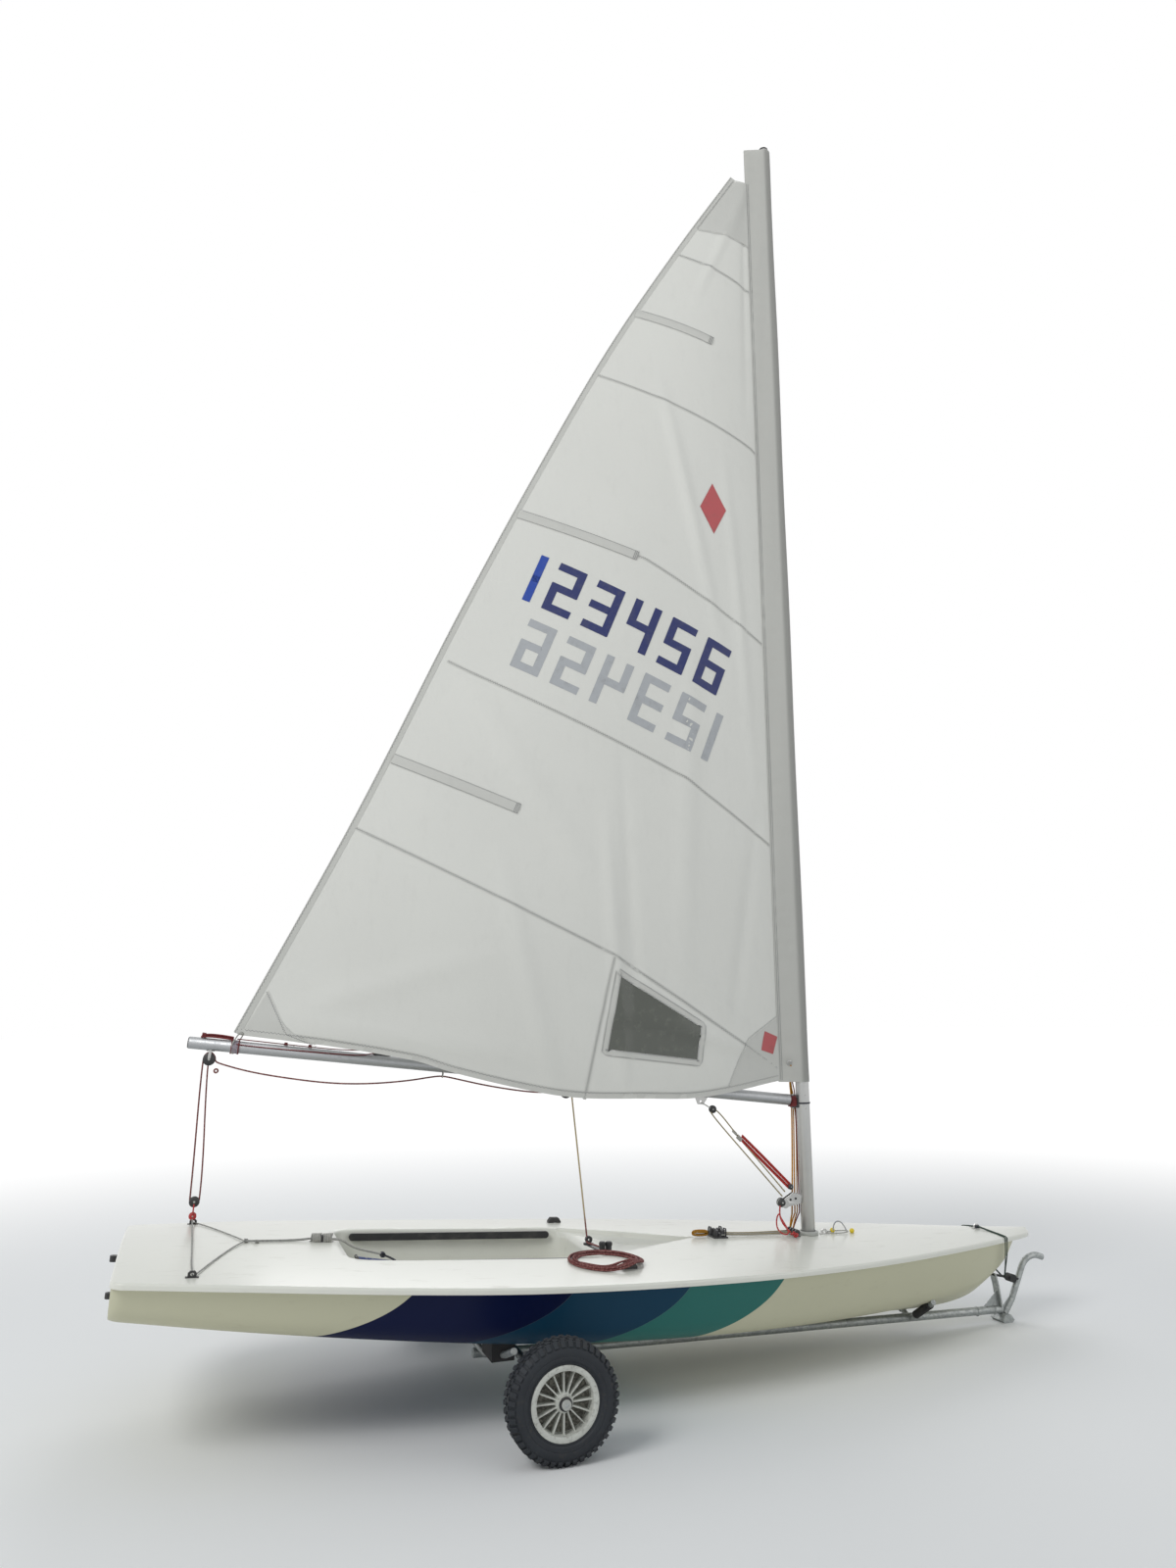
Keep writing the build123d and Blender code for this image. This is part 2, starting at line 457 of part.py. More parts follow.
def wheel_rim():
    """Barrel, flanges, disc and hub in one turned profile, then the spokes and the bore."""
    half, hub = BARREL_W / 2, HUB_L / 2
    rim = revolved([(STUB_R - 2, -hub), (HUB_R, -hub), (HUB_R, -DISC_T), (FLANGE_IN, -DISC_T),
                    (FLANGE_IN, -half - FLANGE_T),
                    (RIM_R, -half - FLANGE_T), (RIM_R, -half), (BARREL_R, -half), (BARREL_R, half),
                    (RIM_R, half),
                    (RIM_R, half + FLANGE_T), (FLANGE_IN, half + FLANGE_T), (FLANGE_IN, 0), (HUB_R, 0),
                    (HUB_R, hub),
                    (STUB_R - 2, hub)])
    spoke = Pos((HUB_R + FLANGE_IN) / 2, 0, SPOKE_H / 2) * Box(FLANGE_IN - HUB_R + 4, SPOKE_T, SPOKE_H)
    for k in range(SPOKES):
        rim = rim + Rot(0, 0, (k + 0.5) * 360.0 / SPOKES) * spoke
    return rim - Cylinder(STUB_R + BORE_FIT, 2 * HUB_L)


def wheel_tyre():
    half, wide = BARREL_W / 2, TYRE_W / 2
    side = [(BARREL_R, half), (RIM_R, half), (RIM_R, wide), (TYRE_R - SHOULDER, wide),
            (TYRE_R, wide - SHOULDER)]
    return revolved(side + [(r, -w) for r, w in reversed(side)])


rim, tyre = wheel_rim(), wheel_tyre()
cap = Pos(0, 0, HUB_L / 2 + CAP_GAP + CAP_L / 2) * Cylinder(CAP_R, CAP_L)
caps = []
for side, y in (("port", 1), ("starboard", -1)):
    outboard = Pos(AXLE_X, y * TRACK_HALF, AXLE_Z) * Rot(-90 * y, 0, 0)
    out(at_ground(outboard * tyre), f"tyre_{side}")
    out(at_ground(outboard * rim), f"rim_{side}")
    caps.append(at_ground(outboard * cap))
out(Compound(caps), "axle_caps")


# Rig
def tube(r, wall, length):
    low = (Align.CENTER, Align.CENTER, Align.MIN)
    return Cylinder(r, length, align=low) - Cylinder(r - wall, length, align=low)


low_top = MAST_LOW_L - STEP_DEPTH
mast_top = low_top - MAST_LAP + MAST_TOP_L
low = Pos(0, 0, -STEP_DEPTH) * tube(MAST_LOW_R, MAST_WALL, MAST_LOW_L)
low = low + Pos(0, 0, -STEP_DEPTH + 4) * Cylinder(MAST_LOW_R, 8)
out(at_mast(low), "lower_mast")
out(at_mast(Pos(0, 0, low_top - MAST_LAP) * tube(MAST_TOP_R, MAST_WALL, MAST_TOP_L)), "top_mast")
out(at_mast(Pos(0, 0, low_top) * tube(MAST_LOW_R, MAST_LOW_R - MAST_TOP_R, COLLAR_H)), "mast_collar")
out(at_mast(Pos(0, 0, mast_top + CAP_H / 2) * Cylinder(MAST_TOP_R, CAP_H)), "mast_cap")

pin_x = -GOOSE_REACH
lugs = Pos(pin_x + 8, 0, 0) * Box(LUG_W, LUG_W, LUG_GAP + 2 * LUG_T)
lugs = lugs - Pos(pin_x - 3, 0, 0) * Box(LUG_W + 2, 2 * LUG_W, LUG_GAP) - Cylinder(MAST_LOW_R, 200)
lugs = lugs - Pos(pin_x, 0, 0) * Cylinder(GOOSE_PIN_R + GOOSE_PIN_FIT, 200)
out(at_mast(Pos(0, 0, GOOSE_H) * lugs), "gooseneck_bracket")

boom_start = -GOOSE_REACH - 20
along = Pos(boom_start, 0, 0) * Rot(0, -90, 0)
out(at_boom(along * tube(BOOM_R, BOOM_WALL, BOOM_L)), "boom_tube")
plug = along * Pos(0, 0, 15) * Cylinder(BOOM_R - BOOM_WALL, 30)
tang = Pos(pin_x - 8, 0, 0) * Box(30, 16, LUG_GAP / 2)
pin = Pos(pin_x, 0, 0) * Cylinder(GOOSE_PIN_R, LUG_GAP + 2 * LUG_T + 8)
out(at_boom(plug + tang) + at_mast(Pos(0, 0, GOOSE_H) * pin), "gooseneck_pin")
out(at_boom(along * Pos(0, 0, BOOM_L - 14) * Cylinder(BOOM_R - BOOM_WALL, 36)), "boom_end_plug")

bore = along * Pos(0, 0, BOOM_L / 2) * Cylinder(BOOM_R, BOOM_L + 100)
for node, aft in (("boom_end_block", END_BLOCK_AFT), ("boom_mid_block", MID_BLOCK_AFT)):
    hung = Pos(0, 0, -BOOM_R - BLOCK_DROP) * sheave_block(BLOCK_R, BLOCK_W)
    hung = hung + Pos(0, 0, -BOOM_R - BLOCK_DROP / 4) * Box(BLOCK_W, BLOCK_W / 2, BLOCK_DROP)
    out(at_boom(Pos(boom_start - aft, 0, 0) * hung - bore), node)
key = upright([(-KEY_L / 2, -BOOM_R + LET_IN), (KEY_L / 2, -BOOM_R + LET_IN),
               (KEY_L / 5, -BOOM_R - KEY_DROP),
               (-KEY_L / 5, -BOOM_R - KEY_DROP)], KEY_T)
key = key - Pos(0, 0, -BOOM_R - KEY_DROP * 0.6) * Rot(90, 0, 0) * Cylinder(KEY_BORE, 4 * KEY_T)
out(at_boom(Pos(boom_start - KEY_AFT, 0, 0) * key - bore), "vang_boom_key")
strap_ring = along * Pos(0, 0, CLEW_AFT) * (Cylinder(BOOM_R + CLEW_T, CLEW_W) - Cylinder(BOOM_R, CLEW_W))
out(at_boom(strap_ring), "clew_strap")
cleat = upright([(-OUTHAUL_L / 2, BOOM_R - LET_IN), (OUTHAUL_L / 2, BOOM_R - LET_IN),
                 (OUTHAUL_L * 0.42, BOOM_R + 8),
                 (OUTHAUL_L * 0.15, BOOM_R + OUTHAUL_H),
                 (-OUTHAUL_L * 0.42, BOOM_R + OUTHAUL_H)], OUTHAUL_W)
out(at_boom(Pos(boom_start - OUTHAUL_AFT, 0, 0) * cleat - bore), "outhaul_cleat")

plates = None
outline = [(-MAST_LOW_R - 6, VANG_H + 22), (-MAST_LOW_R - 6, VANG_H - 18),
           (-MAST_LOW_R - VANG_L, VANG_H - 34),
           (-MAST_LOW_R - VANG_L - 16, VANG_H - 6), (-MAST_LOW_R - VANG_L / 2, VANG_H + 30)]
for y in (-VANG_GAP / 2, VANG_GAP / 2):
    plate = Pos(0, y, 0) * upright(outline, VANG_PLATE_T)
    for k in range(2):
        hole = Pos(-MAST_LOW_R - 30 - 26 * k, y, VANG_H + 4 - 4 * k) * Rot(90, 0, 0) * Cylinder(5.5, 20)
        plate = plate - hole
    plates = plate if plates is None else plates + plate
drum = Pos(-MAST_LOW_R - VANG_L + 4, 0, VANG_H - 18) * Rot(90, 0, 0) * Cylinder(DRUM_R, VANG_GAP + 6)
tang = Pos(-MAST_LOW_R - 8, 0, VANG_H) * Box(28, VANG_GAP, 36) - Cylinder(MAST_LOW_R, MAST_LOW_L)
out(at_mast(plates + drum + tang), "vang_cleat")

tail = bent_bar(TAIL, TAIL_R, 12.0)
knot = Plane(origin=TAIL[-1], z_dir=KNOT_TURN) * Cylinder(KNOT_R, KNOT_L)
out(at_mast((tail + knot) - drum), "vang_tail")


# Sail and the sleeve that holds it on the mast
def sail_section(row):
    """Strips on an arc from luff to leech, as thick as the cloth, in the plane of its own belly."""
    away = Vector(0, -row.belly, -row.drop)
    skin = away.normalized() * (SAIL_T / 2)
    luff, leech = Vector(-SLEEVE_AFT, 0, row.luff_z), Vector(-row.leech, 0, row.leech_z)
    arc = ThreePointArc(luff, (luff + leech) * 0.5 + away, leech)
    line = [arc @ (k / SAIL_STRIPS) for k in range(SAIL_STRIPS + 1)]
    return polygon([p + skin for p in line] + [p - skin for p in reversed(line)])


def sleeve_outline(r, aft):
    """Round the mast, and tapered to the seam where the cloth leaves it."""
    half = SAIL_T / 2
    lean = math.atan2(half, -aft) - math.acos(r / math.hypot(aft, half))
    touch = (r * math.cos(lean), r * math.sin(lean))
    edges = [ThreePointArc(touch, (r, 0), (touch[0], -touch[1])), Line((touch[0], -touch[1]), (-aft, -half)),
             Line((-aft, -half), (-aft, half)), Line((-aft, half), touch)]
    return make_face(edges)


sleeve_h = mast_top - SLEEVE_SHORT - SLEEVE_Z0
inner_r = MAST_LOW_R + SLEEVE_FIT
sleeve = extrude(sleeve_outline(inner_r + SLEEVE_T, SLEEVE_AFT), sleeve_h)
sleeve = sleeve - extrude(sleeve_outline(inner_r, SLEEVE_AFT - SLEEVE_HEM), sleeve_h)
out(at_mast(Pos(0, 0, SLEEVE_Z0) * sleeve), "luff_sleeve")
out(at_mast(loft([sail_section(row) for row in SAIL], ruled=True)), "sail")
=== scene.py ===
import bmesh
import bpy
import json
import math
from collections import namedtuple
from mathutils import Matrix, Vector
from mathutils.bvhtree import BVHTree

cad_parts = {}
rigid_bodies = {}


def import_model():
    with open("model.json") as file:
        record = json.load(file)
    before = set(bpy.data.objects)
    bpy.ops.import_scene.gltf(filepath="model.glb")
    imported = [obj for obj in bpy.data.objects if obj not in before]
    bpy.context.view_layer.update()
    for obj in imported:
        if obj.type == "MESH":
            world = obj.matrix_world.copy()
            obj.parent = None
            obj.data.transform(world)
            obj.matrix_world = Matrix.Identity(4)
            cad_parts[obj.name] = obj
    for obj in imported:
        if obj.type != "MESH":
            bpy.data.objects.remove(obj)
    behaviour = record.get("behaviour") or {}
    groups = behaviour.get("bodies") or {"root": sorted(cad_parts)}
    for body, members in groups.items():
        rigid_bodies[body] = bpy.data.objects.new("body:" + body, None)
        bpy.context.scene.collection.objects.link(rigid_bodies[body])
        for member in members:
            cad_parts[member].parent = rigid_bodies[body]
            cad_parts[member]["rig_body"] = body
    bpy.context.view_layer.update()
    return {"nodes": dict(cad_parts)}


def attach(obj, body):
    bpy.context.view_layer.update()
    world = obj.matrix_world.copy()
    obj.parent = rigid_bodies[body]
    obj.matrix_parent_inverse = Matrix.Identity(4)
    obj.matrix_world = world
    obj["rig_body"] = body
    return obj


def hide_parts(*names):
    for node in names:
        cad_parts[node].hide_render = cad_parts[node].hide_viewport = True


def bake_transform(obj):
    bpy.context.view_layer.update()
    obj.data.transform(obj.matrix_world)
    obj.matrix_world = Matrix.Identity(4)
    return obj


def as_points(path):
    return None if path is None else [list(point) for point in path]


bl_info = {
    "name": "Rigged sailing dinghy on its trolley",
    "version": (1, 0, 0),
    "blender": (4, 5, 0),
    "location": "View3D > Sidebar > Dinghy",
    "description": "Builds the looks of a rigged single-handed dinghy on a two-wheeled launching trolley",
    "category": "Object",
}

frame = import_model()

HULL_BODY = "hull_and_trolley"


def moved(x, y, z):
    return Matrix.Translation((x, y, z))


def spun(degrees, axis):
    return Matrix.Rotation(math.radians(degrees), 4, axis)


# Places in metres, turns in degrees. Boat: x forward from the transom, y to port, z up from the deck line.
# Mast: x forward from the mast's axis, z up from its foot on deck. Boom: x forward from the gooseneck.
X_MID, DECK_Z, PITCH = 2.141, 0.640, 3.5
MAST_X, MAST_Z, RAKE, SWING = 2.976, 0.482, 0.3, -6.4
GOOSE_H, BOOM_UP = 0.593, 6.2
GROUND = moved(-X_MID, 0, 0)
BOAT = moved(-X_MID, 0, DECK_Z) @ spun(PITCH, "Y")
MAST = moved(MAST_X - X_MID, 0, MAST_Z) @ spun(RAKE, "Y") @ spun(SWING, "Z")
BOOM = MAST @ moved(0, 0, GOOSE_H) @ spun(BOOM_UP, "Y")
PLACE_OF = {HULL_BODY: BOAT, "mast": MAST, "boom": BOOM}

# Deck edge and hull sections
Rail = namedtuple("Rail", "x half z")
SHEER = [
    Rail(0.0, 0.532, -0.004), Rail(0.466, 0.613, -0.007), Rail(0.990, 0.671, -0.016),
    Rail(1.480, 0.695, -0.021), Rail(2.036, 0.669, -0.018), Rail(2.592, 0.586, -0.013),
    Rail(3.160, 0.444, -0.003), Rail(3.733, 0.250, 0.012), Rail(4.037, 0.128, 0.021),
    Rail(4.160, 0.073, 0.025), Rail(4.222, 0.030, 0.028),
]
Section = namedtuple("Section", "x inset tuck bilge_z radius keel_z")
HULL = [
    Section(0.005, 0.016, 0.050, -0.146, 0.096, -0.192), Section(0.466, 0.022, 0.063, -0.183, 0.112, -0.246),
    Section(0.990, 0.022, 0.073, -0.218, 0.124, -0.296), Section(1.480, 0.022, 0.082, -0.245, 0.132, -0.330),
    Section(2.036, 0.022, 0.088, -0.258, 0.140, -0.346), Section(2.592, 0.022, 0.099, -0.262, 0.144, -0.349),
    Section(3.160, 0.022, 0.105, -0.255, 0.140, -0.335), Section(3.620, 0.020, 0.098, -0.232, 0.130, -0.315),
    Section(3.850, 0.019, 0.086, -0.200, 0.100, -0.272), Section(4.000, 0.019, 0.070, -0.140, 0.070, -0.184),
    Section(4.085, 0.030, 0.048, -0.076, 0.040, -0.104), Section(4.112, 0.056, 0.020, -0.020, 0.012, -0.030),
]
LIP_H, LIP_R, SHELL_UP, BELLY = 0.024, 0.009, 0.008, 0.015
CROWN, FULL_BEAM = 0.030, 0.695
STERN_ROUND, BOW_ROUND = 0.045, 0.028
PLUG, PLUG_IN = (0.05, 3.90), 0.012      # where the deck moulding fills the hull, and its gap to the skin
WELL = [(0.830, 0.290), (1.000, 0.312), (1.700, 0.318), (1.870, 0.300)]
WELL_FLOOR, WELL_LEAN, WELL_ROUND, WELL_LIP = -0.222, 0.108, 0.090, 0.014
SKIN_T = 0.004
RECESS = [(1.840, 0.306), (2.370, 0.012)]
RECESS_Z, RECESS_ROUND = -0.012, 0.0115
# Steps of the recess's wall: outwards, height, and whether that is above the deck
RECESS_WALL = [
    (-0.007, RECESS_Z, False), (-0.003, RECESS_Z + 0.003, False), (0.0, -0.002, True), (0.003, 0.001, True),
    (0.004, 0.05, True),
]
SLOT_X, SLOT_L, SLOT_W, SLOT_LOW, SLOT_HIGH = 2.222, 0.340, 0.034, -0.5, 0.2
STEP_LOW, STEP_HIGH, STEP_R = -0.342, 0.2, 0.0348
# Shares of a half ring where the bilge's turn starts and ends, and where the deck, its rolled rim, the rim's
# edge and its underside end
BILGE_FROM, BILGE_TO = 0.38, 0.62
DECK_TO, ROLL_TO, EDGE_TO, UNDER_TO = 0.5, 0.6, 0.66, 0.7
ROLL_SHARE, EDGE_SHARE, UNDER_SHARE, PLUG_SHARE = 0.1, 0.06, 0.04, 0.3

# Sail, in the rig's plane: luff height, leech distance and height, belly, drop of the middle
Panel = namedtuple("Panel", "luff leech leech_h belly drop")
SAIL = [
    Panel(0.690, 2.590, 0.925, 0.190, 1.00), Panel(1.300, 2.136, 1.843, 0.150, 0.35),
    Panel(2.300, 1.674, 2.870, 0.120, 0.13), Panel(3.300, 1.277, 3.700, 0.090, 0.07),
    Panel(4.300, 0.892, 4.450, 0.060, 0.0), Panel(5.090, 0.500, 5.110, 0.030, 0.0),
    Panel(5.600, 0.180, 5.610, 0.004, 0.0),
]
LUFF = 0.112


def fair(rows, x, column):
    """A column's value at x, on a smooth curve through the rows."""
    i = max([0] + [k for k in range(len(rows) - 1) if rows[k][0] <= x])
    span = rows[i + 1][0] - rows[i][0]
    t = min(max((x - rows[i][0]) / span, 0.0), 1.0)

    def slope(k):
        before, after = rows[max(k - 1, 0)], rows[min(k + 1, len(rows) - 1)]
        return (after[column] - before[column]) / (after[0] - before[0]) * span

    a, b = rows[i][column], rows[i + 1][column]
    return (a * (2 * t + 1) * (t - 1) ** 2 + slope(i) * t * (t - 1) ** 2
            + b * t * t * (3 - 2 * t) + slope(i + 1) * t * t * (t - 1))


def crown(half):
    return CROWN * (0.35 + 0.65 * half / FULL_BEAM)


def deck_z(x, y=0.0):
    half = fair(SHEER, x, 1)
    return fair(SHEER, x, 2) + crown(half) * (1 - (y / (half - LIP_R)) ** 2)


def on_deck(x, y, up=0.0):
    """A point above the deck, in the boat's frame."""
    return Vector((x, y, deck_z(x, y) + up))


def obj(name, mesh, material, body, smooth=35.0):
    """Makes the mesh an object that rides on a body."""
    mesh.set_sharp_from_angle(angle=math.radians(smooth))
    piece = bpy.data.objects.new(name, mesh)
    bpy.context.scene.collection.objects.link(piece)
    for m in material if isinstance(material, list) else [material]:
        piece.data.materials.append(m)
    if body:
        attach(piece, body)
    return piece


def mesh_of(bm, name, matrix=None, outward=True):
    """Turns a bmesh into a mesh, its faces pointing outwards and smooth."""
    bmesh.ops.remove_doubles(bm, verts=bm.verts, dist=1e-5)
    if outward:
        bmesh.ops.recalc_face_normals(bm, faces=bm.faces)
    if matrix is not None:
        bmesh.ops.transform(bm, matrix=matrix, verts=bm.verts)
    for face in bm.faces:
        face.smooth = True
    mesh = bpy.data.meshes.new(name)
    bm.to_mesh(mesh)
    bm.free()
    return mesh


def surface(bm, across, along, place, uv=None):
    """A grid whose corners go where place puts them."""
    made = bmesh.ops.create_grid(bm, x_segments=across, y_segments=along, size=1)["verts"]
    layer = bm.loops.layers.uv.verify()
    faces = {face for vert in made for face in vert.link_faces}
    for face in faces:
        for loop in face.loops:
            u, v = (loop.vert.co.x + 1) / 2, (loop.vert.co.y + 1) / 2
            loop[layer].uv = uv(u, v) if uv else (u, v)
    for vert in made:
        vert.co = place((vert.co.x + 1) / 2, (vert.co.y + 1) / 2)


def close_ends(bm):
    bmesh.ops.remove_doubles(bm, verts=bm.verts, dist=1e-5)
    bmesh.ops.holes_fill(bm, edges=[e for e in bm.edges if e.is_boundary], sides=0)


def turned(bm, profile, matrix, steps=48, closed=True):
    """Spins a profile of radius and height round the matrix's z."""
    verts = [bm.verts.new((r, 0, h)) for r, h in profile]
    pairs = list(zip(verts, verts[1:])) + ([(verts[-1], verts[0])] if closed else [])
    edges = [bm.edges.new(pair) for pair in pairs]
    before = set(bm.verts) - set(verts)
    bmesh.ops.spin(bm, geom=verts + edges, cent=(0, 0, 0), axis=(0, 0, 1), angle=2 * math.pi,
                   steps=steps, use_merge=True, use_duplicate=False)
    bmesh.ops.remove_doubles(bm, verts=[v for v in bm.verts if v not in before], dist=1e-6)
    bmesh.ops.transform(bm, matrix=matrix, verts=[v for v in bm.verts if v not in before])


def facing(at, direction):
    """A place whose z runs along the direction."""
    return Matrix.Translation(at) @ Vector(direction).to_track_quat("Z", "Y").to_matrix().to_4x4()


def rod(bm, start, end, r, segments=20, r_end=None):
    start, end = Vector(start), Vector(end)
    bmesh.ops.create_cone(bm, cap_ends=True, segments=segments, radius1=r,
                          radius2=r if r_end is None else r_end, depth=(end - start).length,
                          matrix=facing((start + end) / 2, end - start))


def bar(bm, size, matrix, bevel=0.0, segments=2):
    """A block of the given size, its edges rounded."""
    made = bmesh.ops.create_cube(bm, size=1, matrix=matrix @ Matrix.Diagonal((*size, 1)))["verts"]
    if bevel:
        edges = list({e for v in made for e in v.link_edges})
        bmesh.ops.bevel(bm, geom=edges, offset=bevel, segments=segments, affect="EDGES", profile=0.5,
                        material=-1)


def plate(bm, outline, thickness, matrix, bevel=0.0, segments=2):
    """A flat piece from its outline in x and z, as thick as given along y."""
    verts = [bm.verts.new(matrix @ Vector((x, -thickness / 2, z))) for x, z in outline]
    face = bm.faces.new(verts)
    grown = bmesh.ops.extrude_face_region(bm, geom=[face])["geom"]
    top = [g for g in grown if isinstance(g, bmesh.types.BMVert)]
    bmesh.ops.translate(bm, verts=top, vec=matrix.to_3x3() @ Vector((0, thickness, 0)))
    if bevel:
        edges = list({e for v in verts + top for e in v.link_edges})
        bmesh.ops.bevel(bm, geom=edges, offset=bevel, segments=segments, affect="EDGES", profile=0.5,
                        material=-1)


def dressed(node, finish, bevel):
    """A copy of a rigid node with rounded edges, standing for it."""
    source = frame["nodes"][node]
    bm = bmesh.new()
    bm.from_mesh(source.data)
    bmesh.ops.remove_doubles(bm, verts=bm.verts, dist=1e-5)
    bmesh.ops.dissolve_limit(bm, angle_limit=math.radians(1.0), verts=bm.verts, edges=bm.edges)
    for face in bm.faces:
        face.smooth = True
    mesh = bpy.data.meshes.new(node + "_finished")
    bm.to_mesh(mesh)
    bm.free()
    new = obj(node + "_finished", mesh, look(finish), source["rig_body"], 40.0)
    if bevel:
        rounding = new.modifiers.new("edges", "BEVEL")
        rounding.width, rounding.segments = bevel, 2
        rounding.limit_method, rounding.angle_limit = "ANGLE", math.radians(40)
        rounding.harden_normals = False
    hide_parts(node)


def add(name, bm, finish, body, smooth=40.0, node=None, matrix=None):
    """Makes a piece of a bmesh in its finish, standing for a node where one is given."""
    piece = obj(name, mesh_of(bm, name, matrix), look(finish), body, smooth)
    if node:
        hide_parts(node)
    return piece


def evaluated(piece):
    """The mesh that a piece's modifiers or curve give."""
    bpy.context.view_layer.update()
    return bpy.data.meshes.new_from_object(piece.evaluated_get(bpy.context.evaluated_depsgraph_get()))


def settle(piece):
    """Applies a piece's modifiers."""
    mesh = evaluated(piece)
    piece.modifiers.clear()
    piece.data = mesh


def cut(piece, tool):
    """Takes the tool's shape out of the piece and removes the tool."""
    boolean = piece.modifiers.new("cut", "BOOLEAN")
    boolean.operation, boolean.solver, boolean.object = "DIFFERENCE", "EXACT", tool
    settle(piece)
    bpy.data.objects.remove(tool)


class Value:
    """A socket in a finish. Sums and products add the Math nodes."""

    def __init__(self, finish, socket):
        self.finish, self.socket = finish, socket

    def math(self, operation, *others):
        return self.finish.node("ShaderNodeMath", {"operation": operation}, dict(enumerate((self, *others))))

    def __add__(self, other):
        return self.math("ADD", other)

    def __sub__(self, other):
        return self.math("SUBTRACT", other)

    def __mul__(self, other):
        return self.math("MULTIPLY", other)

    def __truediv__(self, other):
        return self.math("DIVIDE", other)

    def __pow__(self, other):
        return self.math("POWER", other)

    def __rsub__(self, other):
        return self.finish.node("ShaderNodeMath", {"operation": "SUBTRACT"}, {0: other, 1: self})

    def __abs__(self):
        return self.math("ABSOLUTE")


class Finish:
    """A material, built node by node onto its Principled shader."""

    def __init__(self, name, **sockets):
        self.material = bpy.data.materials.new(name)
        self.material.use_nodes = True
        self.tree = self.material.node_tree
        self.shader = self.tree.nodes["Principled BSDF"]
        self.wear(**sockets)

    def node(self, kind, settings=None, sockets=None, out=0):
        made = self.tree.nodes.new(kind)
        for name, value in (settings or {}).items():
            setattr(made, name, value)
        for name, value in (sockets or {}).items():
            self.feed(made.inputs[name], value)
        return Value(self, made.outputs[out])

    def feed(self, socket, value):
        if isinstance(value, Value):
            self.tree.links.new(value.socket, socket)
        elif isinstance(value, tuple) and len(value) == 3 and socket.type == "RGBA":
            socket.default_value = (*value, 1)
        else:
            socket.default_value = value

    def wear(self, **sockets):
        """Sets or links the Principled shader's sockets, their names with underscores for spaces."""
        for name, value in sockets.items():
            self.feed(self.shader.inputs[name.replace("_", " ")], value)
        return self

    def place(self):
        return self.node("ShaderNodeTexCoord", out="Object")

    def uv(self):
        return self.node("ShaderNodeTexCoord", out="UV")

    def scaled(self, vector, scale):
        return self.node("ShaderNodeMapping", {}, {"Vector": vector, "Scale": scale})

    def axes(self, vector):
        split = self.node("ShaderNodeSeparateXYZ", {}, {0: vector}).socket.node
        return [Value(self, s) for s in split.outputs]

    def noise(self, vector, scale, detail=3.0, rough=0.5):
        return self.node("ShaderNodeTexNoise", {}, {"Vector": vector, "Scale": scale, "Detail": detail,
                                                    "Roughness": rough})

    def step(self, value, low, high, to_low=0.0, to_high=1.0):
        """Smooth rise from one level to another."""
        return self.node("ShaderNodeMapRange", {"interpolation_type": "SMOOTHSTEP"},
                         {0: value, 1: low, 2: high, 3: to_low, 4: to_high})

    def mix(self, share, a, b):
        return self.node("ShaderNodeMix", {"data_type": "RGBA"}, {0: share, 6: a, 7: b}, 2)

    def colour(self):
        """The colour that the shader has so far."""
        return Value(self, self.shader.inputs["Base Color"].links[0].from_socket)

    def bump(self, height, strength, distance):
        return self.wear(Normal=self.node("ShaderNodeBump", {}, {"Height": height, "Strength": strength,
                                                                 "Distance": distance}))


def toned(colour, factor, lift=0.0):
    """A colour made darker or paler."""
    return tuple(min(1.0, c * factor + lift) for c in colour)


def gelcoat(name, colour, dirt, shine=0.12):
    """Old polished gelcoat: faint clouds of age, fine scratches, a little grime."""
    f = Finish(name, Coat_Weight=shine, Coat_Roughness=0.15, Specular_IOR_Level=0.05 + shine * 3)
    at = f.place()
    clouds = f.step(f.noise(at, 2.6, 4.0), 0.35, 0.75)
    grime = f.step(f.noise(f.scaled(at, (3.0, 9.0, 9.0)), 2.4, 6.0, 0.65), 0.55, 0.8)
    base = f.mix(clouds * 0.35, colour, toned(colour, 0.93))
    f.wear(Base_Color=f.mix(grime * 0.3, base, dirt))
    f.wear(Roughness=f.step(grime, 0.0, 1.0, 0.40 - shine, 0.5))
    scratch = f.noise(f.scaled(at, (30.0, 220.0, 220.0)), 3.0, 2.0)
    f.bump(scratch * 0.4 + f.noise(at, 45.0, 2.0) * 0.6, 0.10, 0.0006)
    return f


# Band edges on the topsides: place along the boat at the deck's edge, its height, how far aft the edge runs
# and over what height
Edge = namedtuple("Edge", "x top reach depth")
STRIPES = [
    Edge(1.015, 0.548, 0.430, 0.170), Edge(1.615, 0.520, 0.345, 0.180),
    Edge(2.100, 0.492, 0.310, 0.190), Edge(2.540, 0.462, 0.280, 0.190),
]
BAND_BLUR = 0.0012


def sweep(z, edge):
    """Where a band's edge lies at height z: steep at the top, curving aft towards the bilge."""
    share = ((edge.top - z) / edge.depth).math("MAXIMUM", 0.0)
    return edge.x - (share * 0.4 + share * share * share * 0.6) * edge.reach


